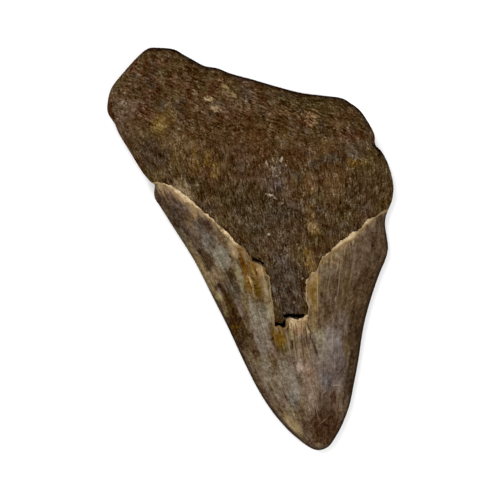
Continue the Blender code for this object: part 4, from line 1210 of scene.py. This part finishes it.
carved = toothSurface.modifiers.new("relief", "NODES")
carved.node_group = reliefTree(finishMaterials)
for item in carved.node_group.interface.items_tree:
    if item.in_out == "INPUT" and item.name in relief:
        carved[item.identifier] = relief[item.name]
depsgraph = bpy.context.evaluated_depsgraph_get()
finishedMesh = bpy.data.meshes.new_from_object(toothSurface.evaluated_get(depsgraph), depsgraph=depsgraph)
toothSurface.modifiers.clear()
toothSurface.data = finishedMesh
finishedMesh.shade_smooth()
print("relief carved:", len(finishedMesh.polygons), "triangles")

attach(toothSurface, "root")
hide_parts("tooth")

# floor, light and camera

view = {  # metres and degrees
    "lean": 11.0,  # the tooth's own lean in the frame
    "aim": (-0.00533, -0.00091),
    "height": 0.8,
    "frameWidth": 0.1325,
    "aimHeight": 0.004,
    "sensor": 36.0,
}
stage = {"floorHalf": 2.0, "floorDrop": 0.0002, "floorShade": 0.9, "floorRough": 0.9, "sky": 0.68}
lamps = {  # place in the frame, size, watts
    "keyLight": ((-0.7, 0.8, 1.1), 1.0, 22.0),
    "fillLight": ((0.9, -0.6, 1.3), 1.3, 20.0),
}


def paleFloor():
    mesh = bpy.data.meshes.new("paleFloor")
    half = stage["floorHalf"]
    corners = [(-half, -half, 0.0), (half, -half, 0.0), (half, half, 0.0), (-half, half, 0.0)]
    mesh.from_pydata(corners, [], [(0, 1, 2, 3)])
    floor = bpy.data.objects.new("paleFloor", mesh)
    bpy.context.scene.collection.objects.link(floor)
    material, g = freshMaterial("paleFloor")
    shade = (*[stage["floorShade"]] * 3, 1.0)
    inputs = {"Base Color": shade, "Roughness": stage["floorRough"]}
    shader = g.add("ShaderNodeBsdfPrincipled", None, inputs)
    g.add("ShaderNodeOutputMaterial", None, {"Surface": shader})
    mesh.materials.append(material)
    floor.location.z = -stage["floorDrop"]


def softBox(name, place, size, watts):
    lamp = bpy.data.lights.new(name, "AREA")
    lamp.size = size
    lamp.energy = watts
    holder = bpy.data.objects.new(name, lamp)
    holder.location = place
    holder.rotation_euler = (-Vector(place)).to_track_quat("-Z", "Y").to_euler()
    bpy.context.scene.collection.objects.link(holder)


def inFrame(right, up, height):  # a place given by the frame's own right and up
    turn = math.radians(view["lean"])
    x = right * math.cos(turn) + up * math.sin(turn)
    return (x, up * math.cos(turn) - right * math.sin(turn), height)


def camera():
    lens = bpy.data.cameras.new("camera")
    lens.sensor_width = view["sensor"]
    lens.lens = view["sensor"] * (view["height"] - view["aimHeight"]) / view["frameWidth"]
    holder = bpy.data.objects.new("camera", lens)
    holder.location = (*view["aim"], view["height"])
    holder.rotation_euler = (0.0, 0.0, -math.radians(view["lean"]))
    bpy.context.scene.collection.objects.link(holder)
    bpy.context.scene.camera = holder


paleFloor()
for name, (place, size, watts) in lamps.items():
    softBox(name, inFrame(*place), size, watts)
camera()
world = bpy.data.worlds.new("paleRoom")
world.use_nodes = True
world.node_tree.nodes["Background"].inputs["Color"].default_value = (1.0, 1.0, 1.0, 1.0)
world.node_tree.nodes["Background"].inputs["Strength"].default_value = stage["sky"]
bpy.context.scene.world = world
bpy.context.scene.view_settings.view_transform = "Standard"
print("stage set")
